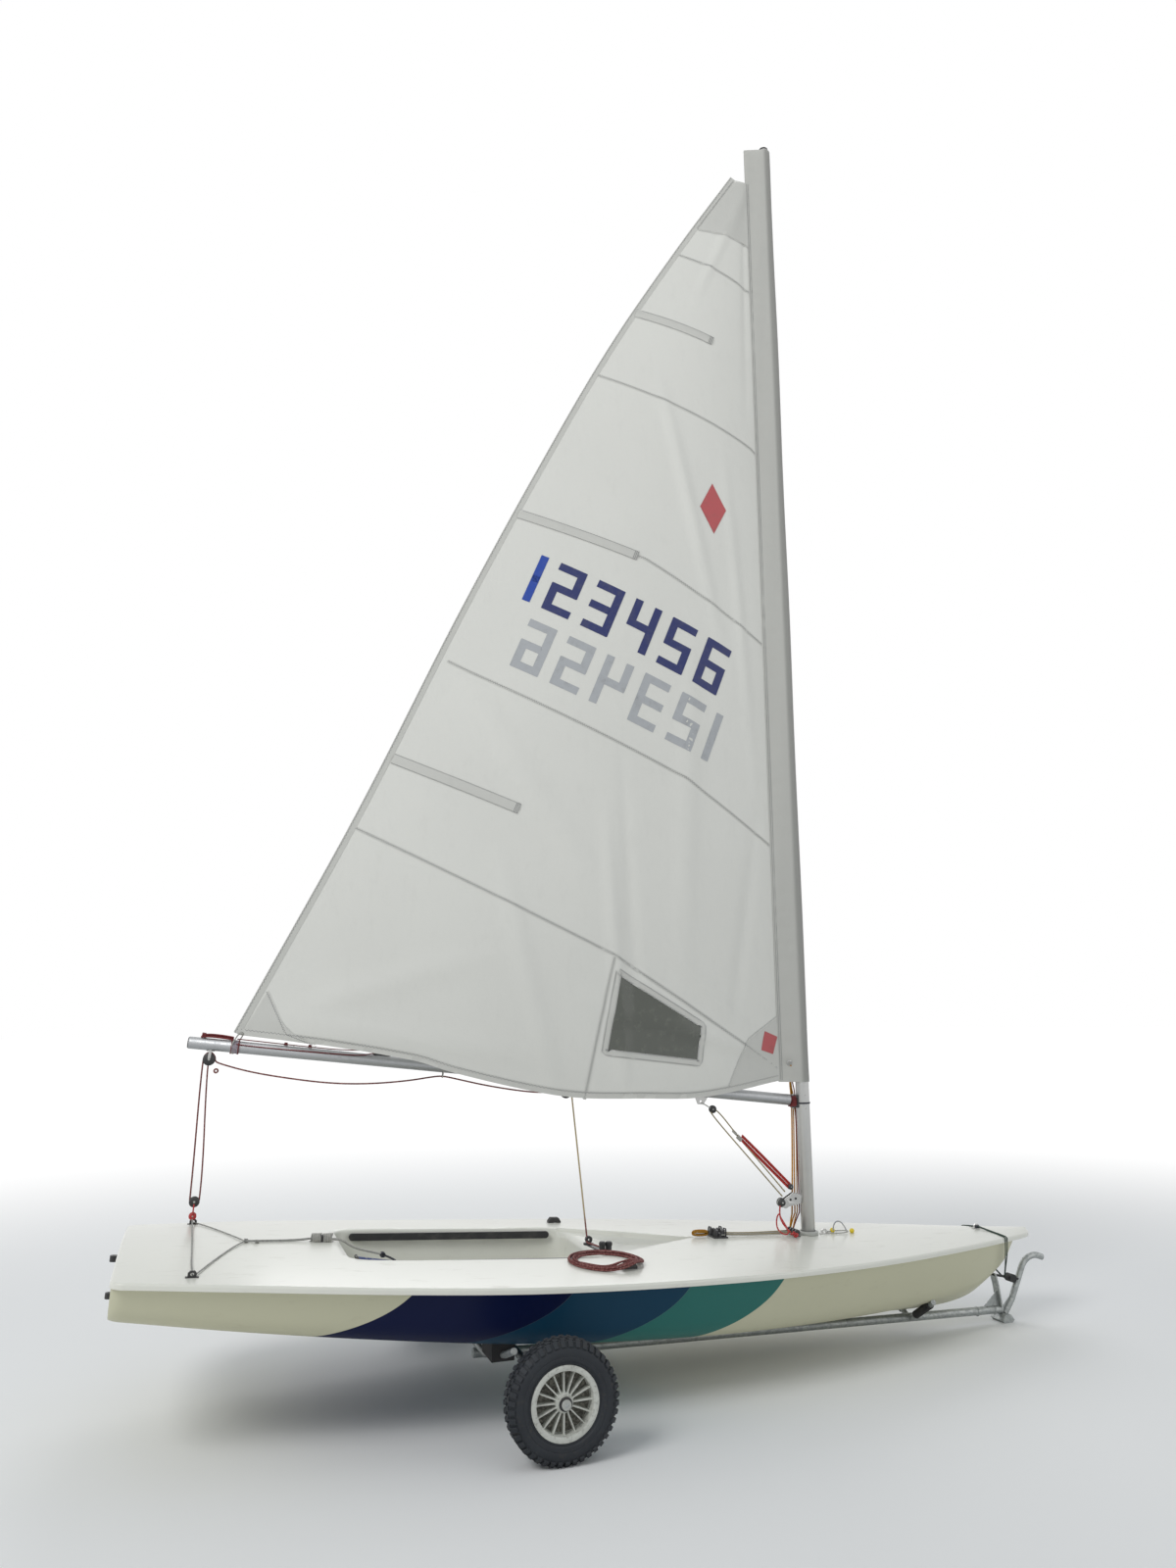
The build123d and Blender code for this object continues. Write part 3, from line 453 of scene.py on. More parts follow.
def striped_hull():
    """Cream topsides with three swept bands, the edges running down and aft."""
    colours = bpy.context.scene.dinghy_colours
    f = gelcoat("hull_gelcoat", tuple(colours.hull), (0.40, 0.38, 0.27), 0.03)
    at = f.place()
    x, _, z = f.axes(at)
    x = x + X_MID
    colour = f.colour()
    edges = [f.step(x - sweep(z, edge), -BAND_BLUR, BAND_BLUR) for edge in STRIPES]
    fade = f.noise(at, 3.1, 3.0)
    for k, band in enumerate((tuple(colours.band_aft), tuple(colours.band_middle), tuple(colours.band_fore))):
        inside = edges[k] * (1 - edges[k + 1])
        tone = f.mix(f.step(fade, 0.3, 0.8) * 0.15, band, toned(band, 1.3, 0.004))
        colour = f.mix(inside, colour, tone)
    f.wear(Base_Color=colour)
    return f.material


def anodised(name, colour, roughness=0.38):
    f = Finish(name, Metallic=0.85)
    at = f.place()
    lines = f.noise(f.scaled(at, (160.0, 160.0, 2.0)), 1.0, 3.0)
    stain = f.step(f.noise(at, 7.0, 4.0, 0.6), 0.5, 0.85)
    f.wear(Base_Color=f.mix(stain * 0.35, colour, toned(colour, 0.72)))
    f.wear(Roughness=f.step(lines, 0.3, 0.7, roughness - 0.06, roughness + 0.1))
    f.bump(lines, 0.08, 0.0004)
    return f.material


def galvanised():
    """Zinc with dull and bright crystals, and a little rust bloom."""
    f = Finish("galvanised", Metallic=0.7)
    at = f.place()
    crystals = f.node("ShaderNodeTexVoronoi", {"feature": "F1"}, {"Vector": at, "Scale": 95.0}, "Color")
    tone = f.axes(crystals)[0]
    zinc = f.mix(tone * 0.7, (0.42, 0.44, 0.43), (0.30, 0.32, 0.32))
    rust = f.step(f.noise(at, 14.0, 6.0, 0.7), 0.66, 0.8)
    f.wear(Base_Color=f.mix(rust * 0.55, zinc, (0.20, 0.13, 0.07)))
    f.wear(Roughness=f.step(tone, 0.0, 1.0, 0.45, 0.65))
    f.wear(Metallic=0.7 - rust * 0.5)
    f.bump(tone + f.noise(at, 60.0, 3.0), 0.12, 0.0006)
    return f.material


def moulded(name, colour, roughness=0.5, dust=(0.16, 0.15, 0.13), share=0.25):
    """Moulded plastic: a fine grain with dust in it."""
    f = Finish(name)
    at = f.place()
    dusty = f.step(f.noise(at, 24.0, 5.0, 0.65), 0.45, 0.8)
    f.wear(Base_Color=f.mix(dusty * share, colour, dust))
    f.wear(Roughness=f.step(dusty, 0.0, 1.0, roughness, min(roughness + 0.25, 0.95)))
    f.bump(f.noise(at, 420.0, 2.0), 0.15, 0.0004)
    return f.material


def stainless():
    f = Finish("stainless", Metallic=1.0)
    at = f.place()
    marks = f.noise(f.scaled(at, (90.0, 90.0, 400.0)), 1.5, 3.0)
    f.wear(Base_Color=f.mix(marks * 0.4, (0.50, 0.50, 0.49), (0.32, 0.32, 0.31)))
    f.wear(Roughness=f.step(marks, 0.2, 0.8, 0.18, 0.36))
    return f.material


def tyre_rubber():
    """Weathered rubber: blue-black, browned with soil on the tread, a bloom on the walls."""
    f = Finish("tyre_rubber", Specular_IOR_Level=0.35)
    at = f.place()
    bloom = f.step(f.noise(at, 9.0, 5.0, 0.6), 0.35, 0.8)
    soil = f.step(f.noise(at, 38.0, 6.0, 0.7), 0.52, 0.8)
    wall = f.mix(bloom * 0.6, (0.016, 0.019, 0.024), (0.040, 0.046, 0.052))
    f.wear(Base_Color=f.mix(soil * 0.4, wall, (0.085, 0.070, 0.050)))
    f.wear(Roughness=f.step(bloom, 0.0, 1.0, 0.6, 0.82))
    f.bump(f.noise(at, 300.0, 3.0), 0.25, 0.0006)
    return f.material


def rim_plastic():
    """Pale plastic with brown-black dirt speckled over it."""
    f = Finish("rim_plastic", Roughness=0.5)
    at = f.place()
    speckle = f.step(f.noise(at, 75.0, 6.0, 0.7), 0.50, 0.66)
    haze = f.step(f.noise(at, 13.0, 4.0, 0.6), 0.35, 0.75)
    base = f.mix(haze * 0.5, (0.56, 0.57, 0.52), (0.40, 0.40, 0.36))
    f.wear(Base_Color=f.mix(speckle * 0.45, base, (0.11, 0.10, 0.08)))
    f.wear(Roughness=f.step(speckle, 0.0, 1.0, 0.42, 0.75))
    f.bump(speckle, 0.12, 0.0005)
    return f.material


def rim_shadow():
    """The cells between the spokes: painted shade in their recesses, flecked with dirt."""
    f = Finish("rim_cells_painted_shade", Roughness=0.8)
    at = f.place()
    grit = f.step(f.noise(at, 110.0, 6.0, 0.75), 0.45, 0.6)
    f.wear(Base_Color=f.mix(grit, (0.10, 0.095, 0.08), (0.26, 0.25, 0.21)))
    f.bump(grit, 0.2, 0.0008)
    return f.material


# Waves of a rope's strands, in radians: for a metre of its length and once round it
BRAID_ALONG, BRAID_ROUND = 2200.0, 18.85


def braid(name, colour, fleck, share=0.35, sunned=0.0):
    """Braided rope read from its own length and girth, its first metres bleached where that is given."""
    f = Finish(name, Roughness=0.75)
    along, around, _ = f.axes(f.uv())
    one, two = along * BRAID_ALONG + around * BRAID_ROUND, along * BRAID_ALONG - around * BRAID_ROUND
    strands = one.math("SINE") * two.math("SINE")
    marks = f.step(f.noise(f.scaled(f.uv(), (150.0, 2.0, 1.0)), 1.0, 2.0), 0.52, 0.56)
    faded = f.step(f.noise(f.scaled(f.uv(), (1.9, 0.0, 0.0)), 1.0, 2.0), 0.42, 0.58)
    # Darker where the strands' wave is low, in the hollows between strands: painted shade
    tone = f.mix(f.step(strands, -1.0, 1.0), toned(colour, 0.55), colour)
    tone = f.mix(faded * 0.45, tone, toned(colour, 0.45))
    if sunned:
        tone = f.mix(f.step(along, sunned - 0.03, sunned + 0.03, 1.0, 0.0), tone, SHADES["cream_line"][0])
    f.wear(Base_Color=f.mix(marks * share, tone, fleck))
    f.bump(strands, 0.5, 0.0012)
    return f.material


def webbing(name, colour, ribs=900.0):
    """Woven strap: ribs across it, fine rows along it with painted shade in their hollows, worn paler in
    places.
    """
    f = Finish(name, Roughness=0.8)
    at = f.place()
    x, y, _ = f.axes(at)
    rows, lines = (x * ribs).math("SINE"), (y * ribs * 1.6).math("SINE")
    worn = f.step(f.noise(at, 22.0, 4.0), 0.45, 0.8)
    # Darker where the ribs and rows are low: painted shade in the weave's hollows
    tone = f.mix(f.step(rows + lines, -2.0, 2.0), toned(colour, 0.6), colour)
    f.wear(Base_Color=f.mix(worn * 0.35, tone, toned(colour, 1.8, 0.02)))
    f.bump(rows + lines, 0.4, 0.0008)
    return f.material


def film():
    """Dark see-through window film, slightly scuffed."""
    f = Finish("window_film", Specular_IOR_Level=0.25, Alpha=0.93)
    scuff = f.step(f.noise(f.scaled(f.uv(), (60.0, 60.0, 1.0)), 3.0, 5.0), 0.5, 0.8)
    f.wear(Base_Color=f.mix(scuff * 0.5, (0.020, 0.028, 0.014), (0.085, 0.095, 0.070)))
    f.wear(Roughness=f.step(scuff, 0.0, 1.0, 0.22, 0.45))
    return f.material


def sailcloth(name, colour, thin=0.14, mast_shadow_tone=1.0):
    """Woven polyester with a resin finish: crackled by use, and light comes through it. A last number below 1
    darkens the middle of the cloth's map: painted shadow of the mast inside the sleeve.
    """
    f = Finish(name, Roughness=0.55, Specular_IOR_Level=0.35)
    at = f.place()
    cloud = f.step(f.noise(at, 1.3, 3.0), 0.3, 0.75)
    crackle = f.noise(f.scaled(at, (9.0, 9.0, 3.5)), 2.0, 6.0, 0.7)
    weft, warp = (f.noise(f.scaled(at, run), 1.0, 1.0) for run in ((900.0, 900.0, 60.0), (60.0, 60.0, 900.0)))
    weave = weft + warp
    tone = f.mix(cloud * 0.4, colour, toned(colour, 0.90))
    tone = f.mix(f.step(crackle, 0.5, 0.8) * 0.25, tone, toned(colour, 0.82))
    f.wear(Base_Color=f.mix(f.step(weave, 0.6, 1.4) * 0.12, tone, toned(colour, 0.75)))
    f.bump(crackle * 0.8 + weave * 0.1, 0.35, 0.004)
    # A darker middle band where the mast lies inside the cloth: painted shadow of the mast
    if mast_shadow_tone < 1:
        u, _, _ = f.axes(f.uv())
        inside = f.step(abs(u * 2 - 1), 0.30, 0.42, 0.0, 1.0)
        f.wear(Base_Color=f.mix(inside, toned(colour, mast_shadow_tone), f.colour()))
    through = f.node("ShaderNodeBsdfTranslucent", {}, {"Color": colour})
    both = f.node("ShaderNodeMixShader", {}, {0: thin})
    f.tree.links.new(f.shader.outputs[0], both.socket.node.inputs[1])
    f.tree.links.new(through.socket, both.socket.node.inputs[2])
    f.tree.links.new(both.socket, f.tree.nodes["Material Output"].inputs["Surface"])
    return f.material


# Colours of the ropes, lines and trims: strand and fleck
SHADES = {"traveller_line": ((0.50, 0.50, 0.47), (0.03, 0.03, 0.03)),
          "pale_line": ((0.60, 0.59, 0.54), (0.25, 0.25, 0.25)),
          "cream_line": ((0.46, 0.38, 0.20), (0.20, 0.15, 0.10)),
          "vang_line": ((0.62, 0.030, 0.022), (0.02, 0.01, 0.01)),
          "yellow_line": ((0.78, 0.34, 0.005), (0.22, 0.10, 0.02)),
          "maroon_line": ((0.24, 0.030, 0.032), (0.07, 0.01, 0.01)),
          "tail_line": ((0.60, 0.030, 0.030), (0.75, 0.38, 0.34)),
          "ochre_line": ((0.60, 0.27, 0.008), (0.15, 0.08, 0.02)),
          "dark_line": ((0.03, 0.035, 0.05), (0.10, 0.10, 0.12)),
          "green_line": ((0.02, 0.055, 0.035), (0.01, 0.02, 0.02)),
          "shock_cord": ((0.66, 0.66, 0.63), (0.05, 0.12, 0.40)),}
PLASTICS = {
    "black_plastic": ((0.020, 0.020, 0.022), 0.42), "black_rubber": ((0.026, 0.026, 0.027), 0.75),
    "grey_plastic": ((0.42, 0.43, 0.40), 0.45), "yellow_plastic": ((0.74, 0.56, 0.02), 0.4),
    "red_tape": ((0.42, 0.03, 0.03), 0.5), "white_plastic": ((0.66, 0.66, 0.62), 0.4),
    "stitch_thread": ((0.085, 0.088, 0.100), 0.8), "pale_thread": ((0.60, 0.60, 0.56), 0.8),
    "digit_blue": ((0.012, 0.020, 0.105), 0.5), "digit_bright": ((0.006, 0.045, 0.300), 0.5),
    # The grey of the far face's digits seen through the cloth is painted shadow
    "digit_shadow_through": ((0.36, 0.375, 0.39), 0.6), "patch_red": ((0.42, 0.085, 0.09), 0.6),
}
FINISHES = {}


def look(name):
    """A finish by its name, made once."""
    if name not in FINISHES:
        FINISHES[name] = finish_of(name)
    return FINISHES[name]


def finish_of(name):
    colours = bpy.context.scene.dinghy_colours
    if name in SHADES:
        return braid(name, *SHADES[name])
    if name in PLASTICS:
        return moulded(name, *PLASTICS[name])
    makers = {"galvanised": galvanised, "stainless": stainless, "window_film": film,
              "tyre_rubber": tyre_rubber, "rim_plastic": rim_plastic, "rim_cells_painted_shade": rim_shadow,
              "mast_alloy": lambda: anodised("mast_alloy", (0.54, 0.54, 0.53), 0.44),
              # The boom's alloy is darker than the mast's: painted shade
              "boom_alloy": lambda: anodised("boom_alloy", (0.40, 0.41, 0.42), 0.44),
              "mainsheet": lambda: braid("mainsheet", tuple(colours.sheet), (0.55, 0.30, 0.26)),
              "sheet_bleached": lambda: braid("sheet_bleached", tuple(colours.sheet), (0.55, 0.30, 0.26),
              0.35, 0.55), "strap_blue": lambda: webbing("strap_blue", (0.010, 0.035, 0.190)),
              "strap_grey": lambda: webbing("strap_grey", (0.300, 0.265, 0.300)),
              "sailcloth": lambda: sailcloth("sailcloth", tuple(colours.cloth)),
              # The sleeve's last number darkens its middle over the mast: painted shadow
              "sleeve": lambda: sailcloth("sleeve", toned(colours.cloth, 0.84), 0.20, 0.62),
              "sail_tape": lambda: sailcloth("sail_tape", toned(colours.cloth, 0.90), 0.1),}
    return makers[name]()


def route(name, points, matrix, closed=False):
    """A smooth curve with the points as its control points, and its length."""
    curve = bpy.data.curves.new(name, "CURVE")
    curve.dimensions = "3D"
    spline = curve.splines.new("NURBS")
    spline.points.add(len(points) - 1)
    for point, co in zip(spline.points, points):
        point.co = (*(matrix @ Vector(co)), 1)
    spline.order_u = 3
    spline.use_cyclic_u, spline.use_endpoint_u = closed, not closed
    spline.resolution_u = 6
    made = bpy.data.objects.new(name, curve)
    bpy.context.scene.collection.objects.link(made)
    return made, spline.calc_length()


def cord(name, points, r, material, body, matrix=None, closed=False):
    """A rope through the points in its body's place, its length in its map: piece, middle line and length."""
    made, length = route(name, points, PLACE_OF[body] if matrix is None else matrix, closed)
    line = [v.co.copy() for v in evaluated(made).vertices]
    made.data.bevel_depth, made.data.bevel_resolution, made.data.use_fill_caps = r, 3, True
    mesh = evaluated(made)
    bpy.data.objects.remove(made)
    layer = mesh.uv_layers.active or mesh.uv_layers.new(name="UVMap")
    for item in layer.data:
        item.uv = (item.uv[0] * length, item.uv[1])
    for polygon in mesh.polygons:
        polygon.use_smooth = True
    mesh.materials.clear()
    return obj(name, mesh, material, body, 60.0), line, length


def rope(name, points, r, material, body, matrix=None, closed=False):
    return cord(name, points, r, material, body, matrix, closed)[0]


def eased(x, start, end, r):
    """1 along the boat, falling on a quarter round to 0 at both ends."""
    near = min(x - start, end - x, r)
    return math.sqrt(max(r * r - (r - near) ** 2, 0.0)) / r


def edge_half(x):
    """Half width at the deck's edge, rounded at the stern's corners and the stem."""
    corner = STERN_ROUND if x < 1 else BOW_ROUND
    return fair(SHEER, x, 1) - corner * (1 - eased(x, SHEER[0].x, SHEER[-1].x, corner))


def hull_ring(x, share):
    """A point of the hull's skin: share runs from the starboard topside under the keel to the port one."""
    inset, tuck, bilge_z, radius, keel_z = (fair(HULL, x, k) for k in range(1, 6))
    half = edge_half(x) - inset
    side = 1 if share > 0.5 else -1
    s = abs(share - 0.5) * 2
    top = Vector((x, half, fair(SHEER, x, 2) - LIP_H + SHELL_UP))
    bilge, keel = Vector((x, half - tuck, bilge_z)), Vector((x, 0, keel_z))
    up, down = (top - bilge).normalized(), (keel - bilge).normalized()
    turn = (math.pi - math.acos(max(-1.0, min(1.0, up.dot(down))))) / 2
    reach = min(radius * math.tan(turn), (top - bilge).length * 0.9, (keel - bilge).length * 0.9)
    start, end = bilge + up * reach, bilge + down * reach
    if s > BILGE_TO:
        point = start.lerp(top, (s - BILGE_TO) / (1 - BILGE_TO))
    elif s > BILGE_FROM:
        t = (s - BILGE_FROM) / (BILGE_TO - BILGE_FROM)
        point = end * (1 - t) ** 2 + bilge * 2 * t * (1 - t) + start * t * t
    else:
        t = s / BILGE_FROM
        point = keel.lerp(end, t) + Vector((0, 0, -BELLY * end.y * 4 * t * (1 - t)))
    return Vector((point.x, point.y * side, point.z))


def stations(v, start, end):
    """Places along the boat, closer together towards the ends."""
    return start + (end - start) * (1 - math.cos(math.pi * v)) / 2


def deck_ring(x, share):
    """A point of the deck moulding: over the crown, round the rolled edge and under, deep inside the hull."""
    half, z = edge_half(x), fair(SHEER, x, 2)
    low = LIP_R * (1 - eased(x, SHEER[0].x, SHEER[-1].x, LIP_R))
    under = half - min(half * 0.5, 0.040)
    side = 1 if share > 0.5 else -1
    s = abs(share - 0.5) * 2
    flat = max(half - LIP_R, 0.001)
    if s < DECK_TO:
        y = flat * s / DECK_TO
        point = (y, z - low + crown(half) * (1 - (y / flat) ** 2))
    elif s < ROLL_TO:
        a = (s - DECK_TO) / ROLL_SHARE * math.pi / 2
        point = (flat + (half - flat) * math.sin(a), z - low - (LIP_R - low) * (1 - math.cos(a)))
    elif s < EDGE_TO:
        point = (half, z - LIP_R - (LIP_H - LIP_R) * (s - ROLL_TO) / EDGE_SHARE)
    elif s < UNDER_TO:
        point = (half + (under - half) * (s - EDGE_TO) / UNDER_SHARE, z - LIP_H)
    else:
        t = (s - UNDER_TO) / PLUG_SHARE
        point = (under * (1 - t), z - LIP_H)
        if PLUG[0] < x < PLUG[1]:
            skin = hull_ring(x, 0.5 + 0.5 * (1 - t))
            y = min(max(skin.y - PLUG_IN, 0.0), under - 0.001 * t)
            point = (y, min(skin.z + PLUG_IN * t, z - LIP_H - 0.001 * t))
    return Vector((x, point[0] * side, point[1]))


def rounded(corners, grow, radius, bits=8):
    """A closed outline through corners, moved outwards by grow, its corners rounded."""
    count = len(corners)
    lines = []
    for k in range(count):
        a, b = Vector(corners[k]), Vector(corners[(k + 1) % count])
        out = Vector(((b - a).y, -(b - a).x)).normalized()
        lines.append((a + out * grow, (b - a).normalized()))
    points = []
    for k in range(count):
        (p, d), (q, e) = lines[k - 1], lines[k]
        cross = d.x * e.y - d.y * e.x
        if abs(cross) < 1e-6:
            corner = q
        else:
            corner = p + d * (((q - p).x * e.y - (q - p).y * e.x) / cross)
        r = min(radius, 0.45 * (Vector(corners[k]) - Vector(corners[k - 1])).length,
                0.45 * (Vector(corners[k]) - Vector(corners[(k + 1) % count])).length)
        start, end = corner - d * r, corner + e * r
        points += [start * (1 - t) ** 2 + corner * 2 * t * (1 - t) + end * t * t
                   for t in [b / bits for b in range(bits + 1)]]
    return points


def cutter(name, corners, radius, rows):
    """A closed body of rings. A row moves the outline outwards and sets its height, flat or over the deck."""
    rings = []
    for grow, level, above_deck in rows:
        ring = rounded(corners, grow, radius + grow)
        rings.append([Vector((p.x, p.y, level + (deck_z(p.x, p.y) if above_deck else 0.0))) for p in ring])
    count = len(rings[0])
    bm = bmesh.new()
    surface(bm, count, len(rings) - 1, lambda u,
            v: rings[round(v * (len(rings) - 1))][round(u * count) % count])
    close_ends(bm)
    return obj(name, mesh_of(bm, name, BOAT), [], None)


# Coil of sheet on the deck: its middle, half widths along and across, and its turns
COIL_X, COIL_Y = 1.826, -0.400
COIL_ALONG, COIL_ACROSS, COIL_POINTS = 0.137, 0.1225, 14
COIL_CHORD = 1.02      # a curve runs inside its control points
CLEAT_X, CLEAT_Y, CLEAT_HALF_L, CLEAT_HALF_W, CLEAT_H = 1.890, 0.490, 0.031, 0.013, 0.024
Turn = namedtuple("Turn", "grow aft across up")
COIL = [
    Turn(-0.0195, 0.000, 0.000, 0.0045), Turn(-0.0110, 0.002, 0.001, 0.0045),
    Turn(-0.0020, -0.001, 0.000, 0.0045), Turn(0.0075, 0.001, -0.002, 0.0045),
    Turn(0.0180, -0.001, 0.000, 0.0050), Turn(0.0120, 0.002, 0.002, 0.0125),
    Turn(-0.0010, -0.003, -0.002, 0.0125), Turn(-0.0130, 0.004, 0.003, 0.0130),
]
HANK_X, HANK_HALF_L, HANK_TURNS, HANK_POINTS = 2.425, 0.040, 7, 14
# The vang's tail and the bight beside it, in the mast's place, and the knot in its end
TAIL = [(-0.136, -0.008, 0.138), (-0.150, -0.018, 0.098), (-0.144, -0.044, 0.050), (-0.116, -0.066, 0.020)]
TAIL_LOOP = [
    (-0.150, -0.018, 0.098), (-0.168, -0.030, 0.075), (-0.176, -0.050, 0.038), (-0.156, -0.066, 0.014),
    (-0.130, -0.072, 0.012), (-0.124, -0.060, 0.030), (-0.135, -0.045, 0.055), (-0.146, -0.030, 0.078),
]
KNOT_SIZE, KNOT_POINTS, KNOT_AT, KNOT_AXIS = 0.0056, 27, (0.012, -0.016, -0.006), (0.15, -0.25, 0.95)


def coil_points():
    """Control points of the loose coil, lifted over the side cleat."""
    points = []
    for k in range((len(COIL) - 1) * COIL_POINTS + 1):
        turn, share = divmod(k / COIL_POINTS, 1.0)
        a, b = COIL[int(turn)], COIL[min(int(turn) + 1, len(COIL) - 1)]
        grow, aft, across, up = (a[n] * (1 - share) + b[n] * share for n in range(4))
        angle = math.radians(205) - 2 * math.pi * share
        wave = 0.0016 * math.sin(angle * 3 + turn * 2.1)
        x = COIL_X - aft + (COIL_ALONG + grow + wave) * math.cos(angle) * COIL_CHORD
        y = COIL_Y + across + (COIL_ACROSS + grow + wave) * math.sin(angle) * COIL_CHORD
        gap = max(abs(x - CLEAT_X) - CLEAT_HALF_L, abs(y + CLEAT_Y) - CLEAT_HALF_W, 0.0)
        near = min(max((0.062 - gap) / 0.050, 0.0), 1.0)
        near = near * near * (3 - 2 * near)
        over = CLEAT_H + 0.008 if gap < 0.010 else CLEAT_H
        points.append(on_deck(x, y, up * (1 - near) + near * max(over, up)))
    return points


def hank_points():
    """Control points of the bushy hank: long loops, each turned a little about the hank's length."""
    points = []
    for k in range(HANK_TURNS * HANK_POINTS + 1):
        turn = k / HANK_POINTS
        angle, tilt = 2 * math.pi * turn, math.radians(14 + 23 * turn)
        reach = HANK_HALF_L - 0.0016 * abs(turn - HANK_TURNS / 2)
        along = reach * math.tanh(1.7 * math.cos(angle)) / math.tanh(1.7)
        side = 0.0125 * math.sin(angle) * (1.0 + 0.06 * math.sin(2.4 * turn))
        points.append(on_deck(HANK_X + along, side * math.cos(tilt), 0.0175 + side * math.sin(tilt)))
    return points


def knot_points():
    """Control points of a three-lobed knot."""
    points = []
    for k in range(KNOT_POINTS):
        t = 2 * math.pi * k / KNOT_POINTS
        points.append(KNOT_SIZE * Vector((math.sin(t) + 2 * math.sin(2 * t),
                      math.cos(t) - 2 * math.cos(2 * t), -math.sin(3 * t))))
    return points


def colour_setting(name, description, default):
    return bpy.props.FloatVectorProperty(name=name, description=description, subtype="COLOR", default=default,
                                         min=0, max=1)


def length_setting(name, description, default, low, high):
    return bpy.props.FloatProperty(name=name, description=description, default=default, min=low, max=high,
                                   unit="LENGTH")


class DinghyColours(bpy.types.PropertyGroup):
    """Colours that a user would change."""
    hull: colour_setting("Hull", "Gelcoat of the topsides and bottom", (0.56, 0.55, 0.40))
    deck: colour_setting("Deck", "Gelcoat of the deck and cockpit", (0.72, 0.72, 0.65))
    band_aft: colour_setting("Aft band", "Dark blue band on the topsides", (0.002, 0.006, 0.040))
    band_middle: colour_setting("Middle band", "Blue band on the topsides", (0.004, 0.042, 0.085))
    band_fore: colour_setting("Forward band", "Sea-green band on the topsides", (0.026, 0.150, 0.130))
    cloth: colour_setting("Sailcloth", "Colour of the sail", (0.66, 0.66, 0.62))
    sheet: colour_setting("Mainsheet", "Colour of the mainsheet", (0.21, 0.045, 0.042))


class DinghySizes(bpy.types.PropertyGroup):
    """Sizes that a user would change."""
    crease: bpy.props.FloatProperty(name="Creases",
            description="Depth of the sail's creases against those made", default=1.5, min=0, max=3)
    sheet_rope: length_setting("Mainsheet radius", "Radius of the mainsheet", 0.0035, 0.002, 0.006)
    tread: length_setting("Tread depth", "Depth of the tyre's tread", 0.006, 0.001, 0.01)


# The photograph's camera: its yaw, pitch and roll in radians, its place, and its lens in the photo's pixels
CAMERA_TURN, CAMERA_AT = (-0.3395, 0.1984, -0.0093), (0.225 - X_MID, -4.762, 1.541)
PHOTO_HEIGHT, FOCAL_PIXELS = 1600, 1113.5


class OBJECT_OT_dinghy_camera(bpy.types.Operator):
    """Sets the camera where the photograph was taken"""
    bl_idname = "object.dinghy_camera"
    bl_label = "Camera"

    def execute(self, context):
        yaw, pitch, roll = CAMERA_TURN
        ahead = Vector((-math.sin(yaw), math.cos(yaw), 0))
        right = Vector((math.cos(yaw), math.sin(yaw), 0))
        gaze = ahead * math.cos(pitch) + Vector((0, 0, math.sin(pitch)))
        up = ahead * -math.sin(pitch) + Vector((0, 0, math.cos(pitch)))
        side, top = right * math.cos(roll) + up * math.sin(roll), up * math.cos(roll) - right * math.sin(roll)
        data = bpy.data.cameras.new("camera")
        camera = bpy.data.objects.new("camera", data)
        context.scene.collection.objects.link(camera)
        data.lens = FOCAL_PIXELS / PHOTO_HEIGHT * data.sensor_width
        data.clip_start, data.clip_end = 0.05, 200
        camera.matrix_world = moved(*CAMERA_AT) @ Matrix((side, top, -gaze)).transposed().to_4x4()
        context.scene.camera = camera
        return {"FINISHED"}


class OBJECT_OT_dinghy_cords(bpy.types.Operator):
    """Lays the coiled mainsheet, the hank of control line and the vang's loose end"""
    bl_idname = "object.dinghy_cords"
    bl_label = "Loose cords"

    def execute(self, context):
        r = context.scene.dinghy_sizes.sheet_rope
        coil, line, length = cord("sheet_coil", coil_points(), r, look("mainsheet"), HULL_BODY)
        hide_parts("mainsheet_coil")
        tuple(line[0])
        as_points(line)
        hank, line, length = cord("control_line_hank", hank_points(), 0.002, look("ochre_line"), HULL_BODY)
        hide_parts("control_hank")
        tuple(line[0])
        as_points(line)
        tail, line, length = cord("vang_loose_end", TAIL, 0.0035, look("tail_line"), "mast")
        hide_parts("vang_tail")
        end = facing(Vector(TAIL[-1]) + Vector(KNOT_AT), KNOT_AXIS)
        loop = rope("vang_tail_loop", TAIL_LOOP, 0.0033, look("tail_line"), "mast", closed=True)
        stop = rope("vang_stopper_knot", knot_points(), 0.0036, look("tail_line"), "mast", MAST @ end,
                    closed=True)
        tuple(line[0])
        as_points(line)
        return {"FINISHED"}


STAGE_NEAR, STAGE_FAR = 3.0, 9.0
LAMPS = [("key", (-7.5, -4.5, 8.0), 4.0, 420.0), ("fill", (7.0, -6.0, 3.5), 5.0, 70.0),
         ("back", (2.0, 8.0, 7.0), 6.0, 240.0)]


